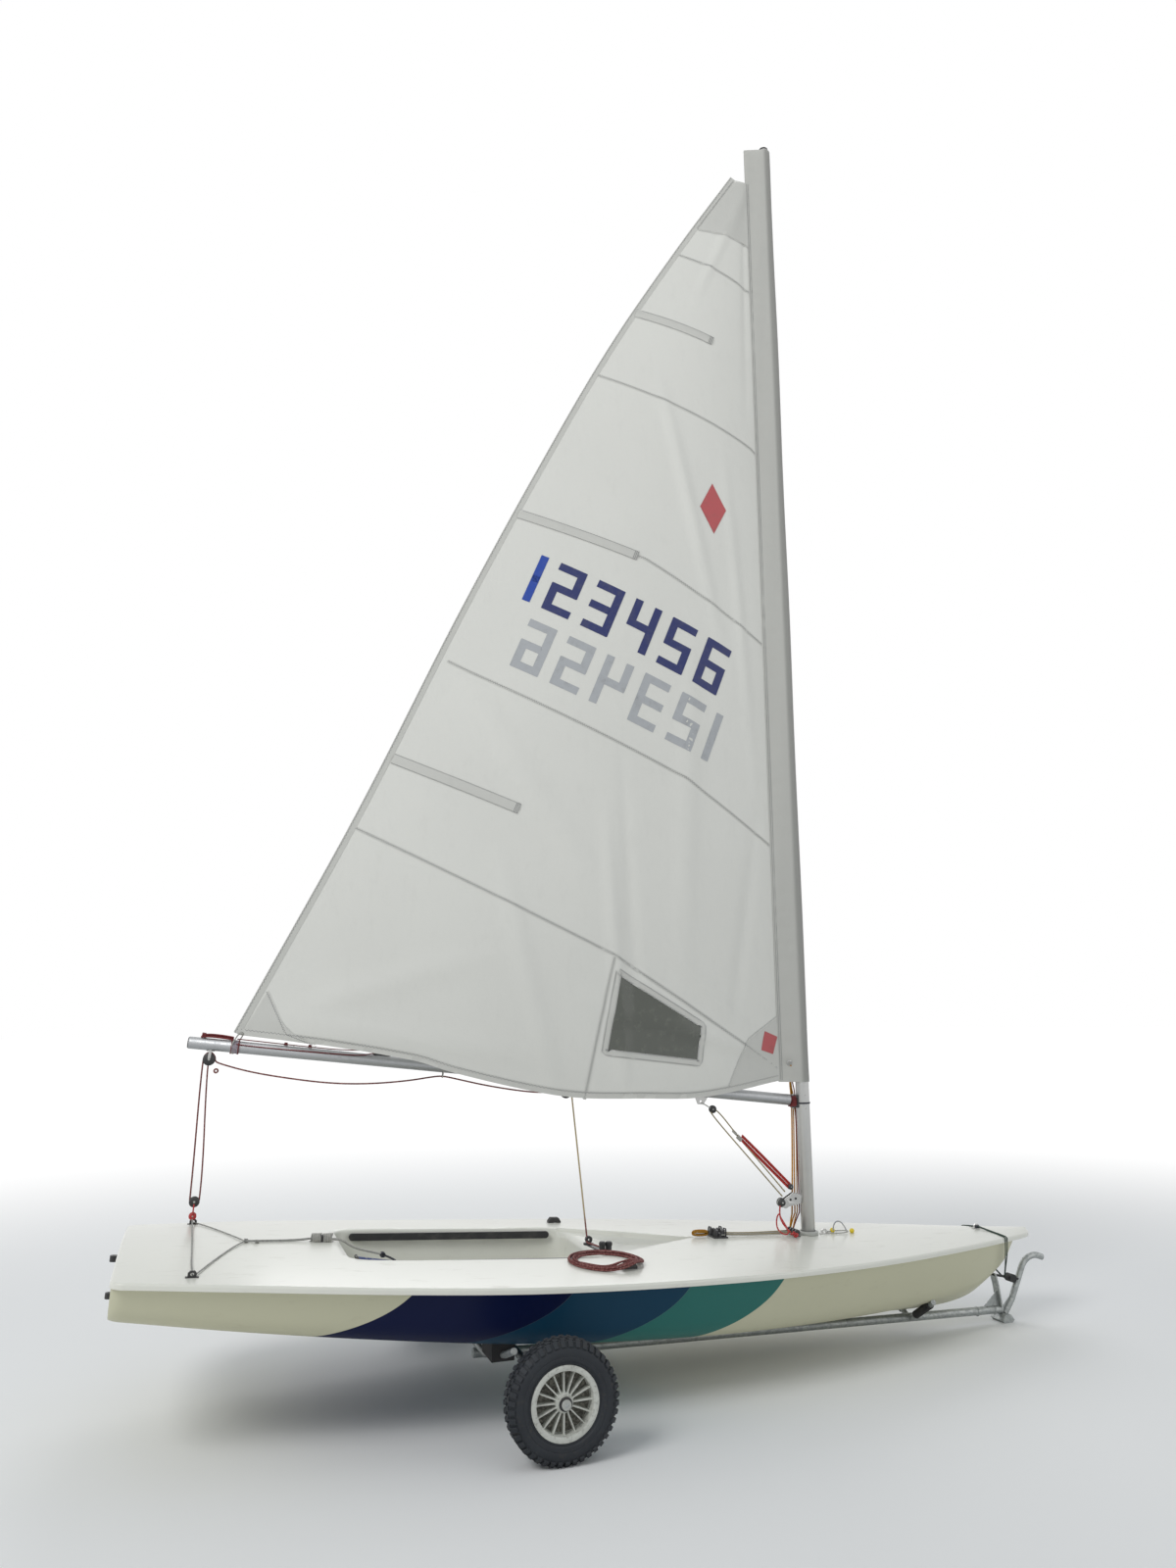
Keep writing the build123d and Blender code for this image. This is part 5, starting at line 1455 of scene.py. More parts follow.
class OBJECT_OT_dinghy_fittings(bpy.types.Operator):
    """Dresses the fittings on the deck and transom, with their screws"""
    bl_idname = "object.dinghy_fittings"
    bl_label = "Deck fittings"

    def execute(self, context):
        for row in DRESSED_DECK:
            dressed(*row)
        bm = bmesh.new()
        spots = [(AFT_CLEAT_X + dx, 0.0) for dx in (-0.046, 0.046)]
        spots += [(FAIRLEAD_X + dx, side * FAIRLEAD_Y) for dx in (-0.012, 0.012) for side in (1, -1)]
        spots += [(CLEAT_X, CLEAT_Y + dy) for dy in (-0.017, 0.017)]
        for x, y in spots:
            screw(bm, BOAT @ Matrix.Translation(on_deck(x, y, 0.0012)))
        for z in (-0.032, -0.163):
            for y in (-0.022, 0.022):
                screw(bm, BOAT @ moved(-0.0035, y, z) @ spun(-90, "Y"))
        for y in (-0.030, 0.030):
            screw(bm, BOAT @ Matrix.Translation(on_deck(CAM_X + 0.030, y, 0.0012)))
        add("deck_screws", bm, "stainless", HULL_BODY)

        bm = bmesh.new()
        turned(bm, STEP_RING, MAST, steps=64)
        add("mast_step_lip", bm, "grey_plastic", HULL_BODY)

        bm = bmesh.new()
        turned(bm, [(0.0, 0.0045), (0.016, 0.0045), (0.0195, 0.0030), (0.021, 0.0), (0.021, -0.010),
               (0.0, -0.010)], BOAT @ moved(0.0035, 0.180, -0.030) @ spun(-90, "Y"), steps=32, closed=False)
        add("transom_bung", bm, "white_plastic", HULL_BODY)

        bm = bmesh.new()
        for dx in (-0.0145, 0.0145):
            at = BOAT @ moved(JAM_X + dx, JAM_Y, 0.018)
            turned(bm, [(0.0, 0.017), (0.0095, 0.017), (0.0128, 0.0145), (0.0135, 0.011), (0.0135, 0.0),
                   (0.0, 0.0)], at, steps=28, closed=False)
            for k in range(JAM_RIBS):
                rib = at @ Matrix.Rotation(2 * math.pi * k / JAM_RIBS, 4, "Z") @ moved(0.0133, 0, 0.006)
                bar(bm, (0.0024, 0.0022, 0.010), rib, 0.0006, 1)
        for y in (-0.022, 0.022):
            for dx in (-0.026, 0.026):
                hoop = [(y + dy, z) for dy, z in CAM_HOOP]
                cam = BOAT @ Matrix.Translation(on_deck(CAM_X + dx * 0.62, y))
                turned(bm, [(0.0, 0.033), (0.0095, 0.033), (0.0108, 0.030), (0.0108, 0.004), (0.0, 0.004)],
                       cam, steps=20, closed=False)
                turn = BOAT @ Matrix.Translation(on_deck(CAM_X + dx, 0)) @ spun(90, "Z")
                plate(bm, hoop, 0.006, turn, 0.0012)
        add("cam_guides", bm, "black_plastic", HULL_BODY)
        return {"FINISHED"}


# The hiking strap along the cockpit: x and z
STRAP = [(0.902, -0.046), (1.110, -0.070), (1.340, -0.084), (1.560, -0.093), (1.760, -0.096), (1.864, -0.092)]
STRAP_W, STRAP_T = 0.050, 0.0035


class OBJECT_OT_dinghy_cockpit(bpy.types.Operator):
    """Makes the hiking strap with its lashings and the drain in the cockpit"""
    bl_idname = "object.dinghy_cockpit"
    bl_label = "Cockpit"

    def execute(self, context):
        line = [Vector((x, 0, z)) for x, z in STRAP]

        def place(u, v):
            k = min(int(v * 5), 4)
            at = line[k].lerp(line[k + 1], v * 5 - k)
            angle = 2 * math.pi * u
            y = max(-1, min(1, 1.3 * math.cos(angle))) * STRAP_W / 2
            sag = 0.004 * math.sin(at.x * 11) * (y / STRAP_W)
            return Vector((at.x, y, at.z + math.sin(angle) * STRAP_T / 2 + sag))

        bm = bmesh.new()
        surface(bm, 20, 80, place)
        close_ends(bm)
        add("strap_woven", bm, "strap_blue", HULL_BODY, node="hiking_strap", matrix=BOAT)
        bm = bmesh.new()
        for x in (0.935, 0.960, 1.800, 1.825):
            z = fair(STRAP, x, 1) + 0.0022
            for k in range(9):
                y = -0.020 + 0.005 * k
                rod(bm, (x + 0.004 * (k % 2), y - 0.0024, z), (x + 0.004 * ((k + 1) % 2), y + 0.0024, z),
                    0.0005, 6)
        bmesh.ops.transform(bm, matrix=BOAT, verts=bm.verts)
        add("strap_stitching", bm, "pale_thread", HULL_BODY)
        bm = bmesh.new()
        for x, z in ((0.898, -0.045), (1.864, -0.092)):
            bar(bm, (0.012, 0.060, 0.010), BOAT @ moved(x, 0, z), 0.002)
            for y in (-0.020, 0.020):
                screw(bm, BOAT @ moved(x, y, z + 0.006), 0.0032)
        add("strap_bars", bm, "black_plastic", HULL_BODY)
        top = deck_z(0.800, 0)
        for k, y in enumerate((-0.0045, 0.0045)):
            line_piece(f"strap_lashing_{k}", [(0.775, y, top + 0.010), (0.815, -y, top + 0.010),
                       (0.838, y, top + 0.004), (0.872, -y, -0.002), (0.905, y, -0.013), (0.945, -y, -0.022),
                       (1.000, y, -0.034)], 0.0044, "pale_line")
            line_piece(f"strap_tie_{k}",
                       [(1.000, y, -0.036), (1.030, y * 2, -0.044), (1.060, y * 3, -0.062)], 0.0030,
                       "dark_line")
        winding("strap_lashing_knot", BOAT @ moved(1.002, 0.0, -0.036) @ SIDEWAYS, 0.0085, 4, 0.0032,
                "dark_line", squash=0.8)
        bm = bmesh.new()
        turned(bm, [(0.0, 0.0018), (0.012, 0.0018), (0.016, 0.0040), (0.024, 0.0040), (0.027, 0.0),
               (0.027, -0.004), (0.0, -0.004)], BOAT @ moved(0.980, 0.0, WELL_FLOOR), steps=40, closed=False)
        add("cockpit_drain", bm, "white_plastic", HULL_BODY)
        return {"FINISHED"}


class OBJECT_OT_dinghy_spars(bpy.types.Operator):
    """Makes the mast, the boom and the fittings that ride on them"""
    bl_idname = "object.dinghy_spars"
    bl_label = "Spars"

    def execute(self, context):
        along = BOOM @ moved(BOOM_START, 0, 0) @ spun(-90, "Y")
        tube_piece("lower_mast", 0.03175, -0.342, 2.865, MAST, "mast_alloy")
        tube_piece("top_mast", 0.0254, 2.233, 3.600, MAST, "mast_alloy")
        tube_piece("boom_tube", BOOM_R, 0.0, 2.743, along, "boom_alloy")
        for row in DRESSED_RIG:
            dressed(*row)
        for name, x in (("boom_end_block", END_BLOCK_X), ("boom_mid_block", MID_BLOCK_X)):
            made_block(name, BOOM @ moved(x, 0, -BOOM_R - BLOCK_DROP) @ SIDEWAYS, BLOCK_R, BLOCK_W, "boom")
        bm = bmesh.new()
        for x in (END_BLOCK_X, MID_BLOCK_X):
            for side in (1, -1):
                strap = [(-0.006, -BOOM_R + 0.004), (0.006, -BOOM_R + 0.004), (0.006, -BOOM_R - 0.030),
                         (0.0, -BOOM_R - 0.038), (-0.006, -BOOM_R - 0.030)]
                plate(bm, [(x + dx, z) for dx, z in strap], 0.0015, BOOM @ moved(0, side * 0.0108, 0), 0.0004)
            bar(bm, (0.034, 0.020, 0.003), BOOM @ moved(x, 0, -BOOM_R - 0.0005), 0.001)
            for dx in (-0.013, 0.013):
                rod(bm, on_boom(x + dx, 0, -BOOM_R - 0.001), on_boom(x + dx, 0, -BOOM_R - 0.0036), 0.0026, 12)
        for x in (-2.380, -2.410, -1.500, OUTHAUL_X + 0.052, OUTHAUL_X - 0.052):
            rod(bm, on_boom(x, 0, BOOM_R - 0.001), on_boom(x, 0, BOOM_R + 0.0016), 0.0028, 12)
        add("boom_hangers", bm, "stainless", "boom")
        bm = bmesh.new()
        for z in (GOOSE_H - 0.030, GOOSE_H + 0.030):
            for side in (1, -1):
                turn = spun(90 * side, "X")
                screw(bm, MAST @ moved(0, side * -0.0320, z) @ turn, 0.0035)
        turned(bm, [(0.0265, 0.010), (0.0330, 0.010), (0.0335, 0.012), (0.0335, 0.020), (0.0265, 0.020)],
               MAST @ moved(0, 0, 2.523), steps=48)
        add("mast_rivets", bm, "stainless", "mast")
        return {"FINISHED"}


# The mainsheet's two bights under the boom: x and z
SHEET_SAG = [
    (-2.670, -0.076), (-2.560, -0.096), (-2.425, -0.108), (-2.216, -0.116), (-2.045, -0.104),
    (-1.877, -0.076), (-1.760, -0.046), (-1.720, -0.040), (-1.660, -0.047), (-1.505, -0.066),
    (-1.300, -0.076), (-1.200, -0.062),
]


class OBJECT_OT_dinghy_sheet(bpy.types.Operator):
    """Rigs the mainsheet from the transom to the boom and down to the deck, and the traveller"""
    bl_idname = "object.dinghy_sheet"
    bl_label = "Mainsheet and traveller"

    def execute(self, context):
        r = context.scene.dinghy_sizes.sheet_rope
        ends = (HULL_BODY, "boom")
        tx, ty = TRAVELLER_X, TRAVELLER_Y
        made_block("traveller_block_lower", BOAT @ moved(tx, ty, 0.040) @ SIDEWAYS,
                   0.016, 0.017, HULL_BODY, "red_tape")
        made_block("traveller_block_upper", BOAT @ moved(tx, ty, 0.098) @ SIDEWAYS,
                   0.022, 0.018, HULL_BODY)
        strop = [(-0.010, 0.090), (-0.013, 0.068), (-0.010, 0.046), (0.010, 0.046), (0.013, 0.068),
                 (0.010, 0.090)]
        line_piece("traveller_block_strop", [(tx, ty + dy, z) for dy, z in strop], 0.003, "red_tape",
                   closed=True)
        low_z = deck_z(FAIRLEAD_X, FAIRLEAD_Y) + 0.0065
        knot = Vector((0.455, -0.020, deck_z(0.455, 0) + 0.006))
        for side, name in ((1, "port"), (-1, "starboard")):
            crossing = [on_deck(0.258, y, 0.005) for y in SPAN_ACROSS] if side < 0 else []
            line_piece("traveller_span_" + name, [(tx, ty, 0.030), (tx, ty + side * 0.012, 0.0275),
                       *crossing, (FAIRLEAD_X, side * (FAIRLEAD_Y - 0.03), low_z + 0.004),
                       (FAIRLEAD_X, side * FAIRLEAD_Y, low_z),
                       (FAIRLEAD_X + 0.010, side * (FAIRLEAD_Y - 0.004), low_z),
                       on_deck(0.330, side * 0.330, 0.005), on_deck(0.420, side * 0.080, 0.005), knot],
                       0.0026, "traveller_line")
        winding("traveller_knot", BOAT @ facing(knot + Vector((0.004, 0.004, 0.001)), (1, -0.3, 0)), 0.0055,
                3, 0.0024, "traveller_line")
        winding("traveller_knot_second",
                BOAT @ facing(Vector((0.498, -0.030, deck_z(0.498, 0) + 0.006)), (1, 0.2, 0)), 0.0050, 3,
                0.0024, "traveller_line")
        for k, y in enumerate((-0.006, 0.010)):
            line_piece(f"traveller_control_{k}", [knot + Vector((0, y, 0)),
                       (0.560, y * 1.5 - 0.010, deck_z(0.56, 0) + 0.004),
                       (0.660, y * 1.6, deck_z(0.66, 0) + 0.005),
                       (AFT_CLEAT_X - 0.030, y * 0.6, deck_z(0.72, 0) + 0.014),
                       (AFT_CLEAT_X, y * 0.4, deck_z(0.75, 0) + 0.018)], 0.0024, "traveller_line")
        for k, x in enumerate((-0.022, 0.022)):
            winding(f"traveller_hitch_{k}", BOAT @ Matrix.Translation(on_deck(AFT_CLEAT_X + x, 0.0, 0.013))
                    @ spun(90, "Y"), 0.0165, 5.5, 0.0034, "pale_line", squash=0.8)
        aft, fore = END_BLOCK_X - 0.023, END_BLOCK_X + 0.023
        axle = -BOOM_R - BLOCK_DROP
        across("sheet_fall_aft", [on_boat(tx - 0.019, ty, 0.104), on_boat(tx - 0.020, ty - 0.006, 0.200),
               on_boom(aft, 0.0, axle - 0.05), on_boom(aft, 0, axle)], r, "mainsheet", ends)
        across("sheet_fall_fore", [on_boat(tx + 0.019, ty, 0.104), on_boat(tx + 0.021, ty - 0.006, 0.200),
               on_boom(END_BLOCK_X + 0.004, 0.0, axle - 0.09), on_boom(END_BLOCK_X, 0, axle - 0.026)], r,
               "mainsheet", ends)
        path = [(aft, axle - 0.004), (aft - 0.001, axle + 0.014), (END_BLOCK_X, axle + 0.034),
                (fore + 0.001, axle + 0.014), (fore + 0.002, axle - 0.006), *SHEET_SAG,
                (MID_BLOCK_X - 0.018, axle + 0.022), (MID_BLOCK_X + 0.004, axle + 0.034),
                (MID_BLOCK_X + 0.024, axle + 0.016), (MID_BLOCK_X + 0.026, axle - 0.004)]
        line_piece("sheet_round_end_block", [(x, 0, z) for x, z in path], r, "mainsheet", "boom")
        loop = [(-0.0272, -0.010), (-0.0272, 0.020), (0.0, 0.0300), (0.0272, 0.020), (0.0272, -0.010),
                (0.012, -0.036), (0.0, -0.050), (-0.012, -0.036)]
        line_piece("boom_strap_loop", [(-1.722, y, z) for y, z in loop], 0.0026, "pale_line", "boom",
                   closed=True)
        winding("sheet_becket_knot", BOOM @ moved(-2.684, 0, -0.106) @ SIDEWAYS, 0.0075, 2, r, "mainsheet",
                "boom")
        top, foot = on_boom(MID_BLOCK_X + 0.026, 0, axle), on_boat(1.886, 0.0, 0.010)
        across("sheet_fall_middle", [top, top.lerp(foot, 0.33), top.lerp(foot, 0.66), foot], r,
               "sheet_bleached", ("boom", HULL_BODY))
        line_piece("sheet_through_cams", [(1.886, 0.0, 0.012), (1.880, -0.006, -0.002),
                   (1.886, -0.050, 0.002), (1.900, -0.130, 0.004), (1.906, -0.176, 0.004),
                   (1.880, -0.240, 0.003), (1.800, -0.290, 0.008),
                   (1.716, -0.330, deck_z(1.716, -0.33) + 0.008),
                   (1.690, -0.375, deck_z(1.69, -0.37) + 0.008),
                   (1.7058, -0.443, deck_z(1.706, -0.443) + 0.0085)], r, "mainsheet")
        return {"FINISHED"}


# Lines down the mast's aft side: name, finish, radius, points in the mast's frame, place of the block on deck
MAST_LINES = [
    ("yellow", "yellow_line", 0.0038, [(-0.062, -0.020, 0.762), (-0.056, 0.020, 0.690),
        (-0.044, 0.034, 0.620), (-0.043, 0.034, 0.5586), (-0.0555, 0.032, 0.220),
        (-0.064, 0.032, 0.080)], 0.036),
    ("gold", "yellow_line", 0.0034, [(-0.060, -0.014, 0.758), (-0.050, 0.024, 0.690), (-0.036, 0.034, 0.620),
        (-0.034, 0.034, 0.5586), (-0.043, 0.032, 0.300), (-0.050, 0.030, 0.085)], 0.036),
    ("ochre", "ochre_line", 0.0030, [(-0.040, 0.028, 0.640), (-0.024, 0.031, 0.558), (-0.030, 0.030, 0.350),
        (-0.040, 0.026, 0.090)], 0.012),
    ("red", "maroon_line", 0.0030, [(-0.056, -0.008, 0.752), (-0.044, 0.016, 0.680), (-0.030, 0.023, 0.640),
        (-0.028, 0.023, 0.558), (-0.030, 0.021, 0.230), (-0.031, 0.020, 0.090)], 0.012),
]


# The lines at the deck eye: name, finish, radius, points with heights above the deck there, closed
EYE_LINES = [
    ("deck_eye_loop", "pale_line", 0.0025, [
        (3.062, 0.0, 0.006), (3.095, 0.014, 0.008), (3.150, 0.020, 0.010), (3.192, 0.010, 0.012),
        (3.192, -0.010, 0.010), (3.150, -0.020, 0.006), (3.095, -0.014, 0.006)], True),
    ("deck_eye_arch", "shock_cord", 0.0030, [
        (3.118, 0.010, 0.012), (3.120, 0.009, 0.036), (3.130, 0.006, 0.052), (3.145, 0.002, 0.056),
        (3.160, -0.002, 0.048), (3.172, -0.006, 0.030), (3.182, -0.008, 0.012)], False),
]


class OBJECT_OT_dinghy_controls(bpy.types.Operator):
    """Rigs the vang, the cunningham, the outhaul and the lashings at the mast and the bow"""
    bl_idname = "object.dinghy_controls"
    bl_label = "Control lines"

    def execute(self, context):
        upper, eye = Vector((-0.454, 0, 0.566)), Vector((-0.327, 0, 0.433))
        made_block("vang_upper_block", MAST @ Matrix.Translation(upper) @ SIDEWAYS, 0.018, 0.018, "mast")
        made_block("vang_lower_block", MAST @ moved(-0.081, 0, 0.208) @ SIDEWAYS, 0.013, 0.026, "mast")
        made_block("vang_cam", MAST @ moved(-0.128, 0, 0.140) @ SIDEWAYS, 0.0205, 0.036, "mast")
        bm = bmesh.new()
        for k in range(2):
            side = MAST @ Vector((-0.0618 - 0.026 * k, 0, 0.156 - 0.004 * k))
            rod(bm, side + Vector((0, -0.0098, 0)), side + Vector((0, 0.0098, 0)), 0.0082, 24)
        add("vang_inner_sheaves", bm, "black_plastic", "mast")
        line_piece("vang_shackle", [(-0.508, -0.006, -0.050), (-0.508, 0.006, -0.050),
                   (-0.470, 0.010, -0.066), (-0.452, 0.0, -0.076), (-0.470, -0.010, -0.066)], 0.0022,
                   "stainless", "boom", closed=True)
        line_piece("vang_strop_aft", [upper + Vector((-0.012, -0.004, -0.010)), (-0.456, -0.005, 0.536),
                   (-0.300, -0.006, 0.362), (-0.126, -0.008, 0.168)], 0.0031, "cream_line", "mast")
        line_piece("vang_strop_fore", [upper + Vector((0.014, -0.004, -0.004)), (-0.424, -0.005, 0.552),
                   (-0.360, -0.005, 0.474), eye], 0.0031, "cream_line", "mast")
        line_piece("vang_strop_low", [eye, (-0.240, -0.008, 0.335), (-0.112, -0.008, 0.188)], 0.0031,
                   "cream_line", "mast")
        top, low = Vector((-0.318, 0, 0.438)), Vector((-0.086, 0, 0.212))
        away = Vector((low.z - top.z, 0, top.x - low.x)).normalized()
        for k, off in enumerate((-0.0105, -0.0035, 0.0035, 0.0105)):
            beside = away * -off + Vector((0, 0.003 if k % 2 else -0.003, 0))
            line_piece(f"vang_part_{k}", [top + beside, top.lerp(low, 0.33) + beside * 1.15,
                       top.lerp(low, 0.66) + beside * 1.1, low + beside], 0.0036, "vang_line", "mast")
        run = facing(eye, low - top)
        winding("vang_eye_knot", MAST @ run, 0.0075, 5, 0.0028, "pale_line", "mast")
        winding("vang_eye_splice", MAST @ moved(-0.022, 0, 0.026) @ run, 0.0045, 6, 0.0022, "pale_line",
                "mast")

        for name, finish, r, points, place in MAST_LINES:
            line_piece("mast_line_" + name, points, r, finish, "mast")
            start, end = MAST @ Vector(points[-1]), BOAT @ on_deck(BLOCKS_X + 0.004, place, 0.014)
            across("mast_line_foot_" + name, [start, start.lerp(end, 0.5) + Vector((-0.003, 0, 0.004)), end],
                   r, finish, ("mast", HULL_BODY))
        for k, place in enumerate((-0.036, -0.012, 0.012, 0.036)):
            line_piece(f"deck_line_{k}", [on_deck(BLOCKS_X + 0.002, place, 0.014),
                       on_deck(2.800, place * 0.9, 0.010), on_deck(2.650, place * 0.8, 0.009),
                       on_deck(CAM_X + 0.035, place * 0.9, 0.012), on_deck(CAM_X, place, 0.014)], 0.0024,
                       "cream_line" if k % 2 else "pale_line")
        winding("gooseneck_band", MAST @ moved(0, 0, GOOSE_H - 0.009), 0.0332, 2, 0.0018, "dark_line",
                "mast")
        winding("gooseneck_lashing", MAST @ moved(-0.050, 0.004, GOOSE_H), 0.0205, 9, 0.0027,
                "maroon_line", "mast")

        bm = bmesh.new()
        turned(bm, [(0.0070, 0.0018), (0.0110, 0.0022), (0.0130, 0.0006), (0.0130, -0.0016),
               (0.0070, -0.0016)], MAST @ moved(-0.074, -0.0275, 0.773) @ spun(112, "X"), steps=32)
        add("tack_grommet", bm, "stainless", "mast")

        high = BOOM_R + 0.004
        line_piece("outhaul_upper", [(CLEW_X + 0.004, 0.0, 0.0330), (-2.560, -0.003, high + 0.003),
                   (-2.414, -0.004, high + 0.001), (-2.312, -0.003, high), (-2.150, 0.0, high),
                   (OUTHAUL_X, 0.0, high + 0.014)], 0.0024, "maroon_line", "boom")
        line_piece("outhaul_lower", [(CLEW_X + 0.006, -0.028, 0.012), (-2.574, -0.0282, 0.010),
                   (-2.350, -0.0282, 0.010), (-2.108, -0.0275, 0.012),
                   (OUTHAUL_X - 0.040, -0.016, high - 0.002), (OUTHAUL_X, -0.006, high + 0.012)], 0.0024,
                   "maroon_line", "boom")
        for k, x in enumerate((-2.414, -2.312)):
            winding(f"outhaul_knot_{k}", BOOM @ moved(x, -0.003, high + 0.003) @ spun(90, "Y"),
                    0.0046, 3, 0.0022, "maroon_line", "boom")
        for k, (y, z) in enumerate(((-0.009, 0.030), (-0.002, 0.0345), (0.005, 0.031), (-0.005, 0.0405))):
            line_piece(f"clew_bundle_{k}", [(-2.768 + 0.006 * k, y, z - 0.001), (-2.735, y, z + 0.002),
                       (-2.690, y, z + 0.002), (-2.650, y, z), (CLEW_X - 0.010, y, z - 0.002)], 0.0034,
                       "maroon_line", "boom")
        winding("clew_bundle_knot", BOOM @ moved(-2.757, -0.002, 0.036) @ spun(90, "Y"),
                0.0085, 3, 0.0028, "maroon_line", "boom")
        for k, x in enumerate((-0.0145, 0.0145)):
            winding(f"clew_strap_edge_{k}", BOOM @ moved(CLEW_X + x, 0, 0) @ spun(90, "Y"),
                    BOOM_R + 0.0022, 1, 0.0022, "maroon_line", "boom")
        clew = Vector((-2.604, -0.004, 0.052))
        for k, y in enumerate((-0.0045, 0.0045)):
            line_piece(f"clew_lashing_{k}", [clew + Vector((0, y, 0.012)), clew + Vector((-0.012, y, 0.004)),
                       (-2.630, -0.022 + y, 0.024), (-2.636, -0.0285, 0.004), (-2.634, -0.018, -0.024),
                       (-2.626, y, -0.030), (-2.620, 0.022, -0.018), (-2.612, 0.020, 0.024),
                       clew + Vector((0.008, y, 0.002))], 0.0027, "pale_line", "boom",
                       closed=True)

        eye_z = deck_z(3.064, 0)
        for name, finish, r, points, closed in EYE_LINES:
            line_piece(name, [(x, y, eye_z + up) for x, y, up in points], r, finish,
                       closed=closed)
        bm = bmesh.new()
        for x, y in ((3.120, 0.0185), (3.215, 0.000)):
            bmesh.ops.create_uvsphere(bm, u_segments=20, v_segments=12, radius=0.0115,
                                      matrix=BOAT @ moved(x, y, eye_z + 0.012))
        add("deck_eye_beads", bm, "yellow_plastic", HULL_BODY, 60.0)
        bow_z = deck_z(3.925, 0)
        winding("bow_lashing", BOAT @ moved(3.925, 0.0, bow_z + 0.0075) @ spun(90, "Y"),
                0.0085, 5, 0.0023, "dark_line", squash=0.8)
        for name, side in (("port", 1), ("starboard", -1)):
            for k, x in enumerate((3.962, 3.978)):
                half, edge = edge_half(x), fair(SHEER, x, 2)
                tie = [(3.925 + 0.008 * k, 0.0, bow_z + 0.012),
                       (3.940 + 0.01 * k, 0.050, deck_z(3.95, 0.05) + 0.004),
                       (x, half - 0.012, deck_z(x, half - 0.012) + 0.004), (x, half + 0.0045, edge - 0.001),
                       (x, half + 0.0040, edge - LIP_H * 0.7), (x + 0.030, half - 0.034, -0.065),
                       (4.060, 0.034, -0.165), (4.078 + 0.006 * k, 0.004, -0.196)]
                line_piece(f"bow_tie_{name}_{k}", [(at, side * y, z) for at, y, z in tie], 0.0025,
                           "green_line")
        return {"FINISHED"}


TRACK_HALF, WHEEL_X, WHEEL_Z = 0.849, 1.490, 0.200
TREAD_ROWS, SPOKES = 44, 16
TREAD_PITCH = 2 * math.pi / TREAD_ROWS
TREAD_TOP, TREAD_OFF, LUG_R, LUG_OFF = 0.1999, 0.0125, 0.1885, 0.0372
# Sections of the wheel: radius, and distance outboard of its middle
TYRE_SIDE = [
    (0.1105, 0.0385), (0.1235, 0.0385), (0.1240, 0.0420), (0.1275, 0.0440), (0.1300, 0.0425),
    (0.1330, 0.0440), (0.1365, 0.0478), (0.1480, 0.0494), (0.1500, 0.0482), (0.1525, 0.0494),
    (0.1690, 0.0490), (0.1770, 0.0455), (0.1870, 0.0370), (0.1930, 0.0290), (0.1945, 0.0240), (0.1945, 0.0),
]
RIM_RING = [
    (0.1225, 0.0435), (0.1225, 0.0385), (0.1100, 0.0370), (0.1085, 0.0), (0.1100, -0.0370),
    (0.1225, -0.0385), (0.1225, -0.0435), (0.1205, -0.0440), (0.1060, -0.0430), (0.1030, -0.0400),
    (0.1020, -0.0100), (0.1000, -0.0070), (0.0255, -0.0070), (0.0250, -0.0480), (0.0108, -0.0480),
    (0.0108, 0.0480), (0.0170, 0.0480), (0.0245, 0.0440), (0.0250, 0.0320), (0.0255, 0.0005),
    (0.0990, 0.0005), (0.1010, 0.0020), (0.1020, 0.0360), (0.1035, 0.0425), (0.1060, 0.0440),
    (0.1200, 0.0443),
]
SPOKE_SIDE = [(0.0235, 0.0), (0.1025, 0.0), (0.1025, 0.0300), (0.0960, 0.0265), (0.0400, 0.0290),
              (0.0235, 0.0340)]
HUB_RING = [(0.0230, 0.0345), (0.0300, 0.0330), (0.0330, 0.0280), (0.0330, 0.0), (0.0230, 0.0)]
# The dark disc in the cells between the spokes: painted shade in the recesses
CELL_SHADE_RING = [(0.0340, 0.0012), (0.1015, 0.0012), (0.1015, 0.0009), (0.0340, 0.0009)]
COLLAR_RING = [(0.0118, 0.0483), (0.0118, 0.0), (0.0240, 0.0), (0.0240, 0.0448), (0.0222, 0.0478),
               (0.0180, 0.0486)]


def wheel_place(y):
    """The wheel's own place: z outboard along the axle."""
    return GROUND @ moved(WHEEL_X, y * TRACK_HALF, WHEEL_Z) @ spun(-90 * y, "X")


def tread_blocks(bm, at, depth):
    """Blocks round the tyre: two staggered rows in the middle and chamfered ones on the shoulders."""
    for k in range(TREAD_ROWS):
        for side, shift in ((1, 0.0), (-1, 0.5)):
            turn = at @ Matrix.Rotation(TREAD_PITCH * (k + shift), 4, "Z")
            middle = turn @ moved(TREAD_TOP - depth, 0, side * TREAD_OFF) @ spun(14 * side, "X")
            bar(bm, (depth * 2, 0.0185, 0.019), middle, 0.0012, 1)
            lug = turn @ Matrix.Rotation(TREAD_PITCH * 0.25, 4, "Z") @ moved(LUG_R, 0, side * LUG_OFF)
            bar(bm, (depth * 1.6, 0.0165, 0.0265), lug @ spun(-45 * side, "Y"), 0.0012, 1)


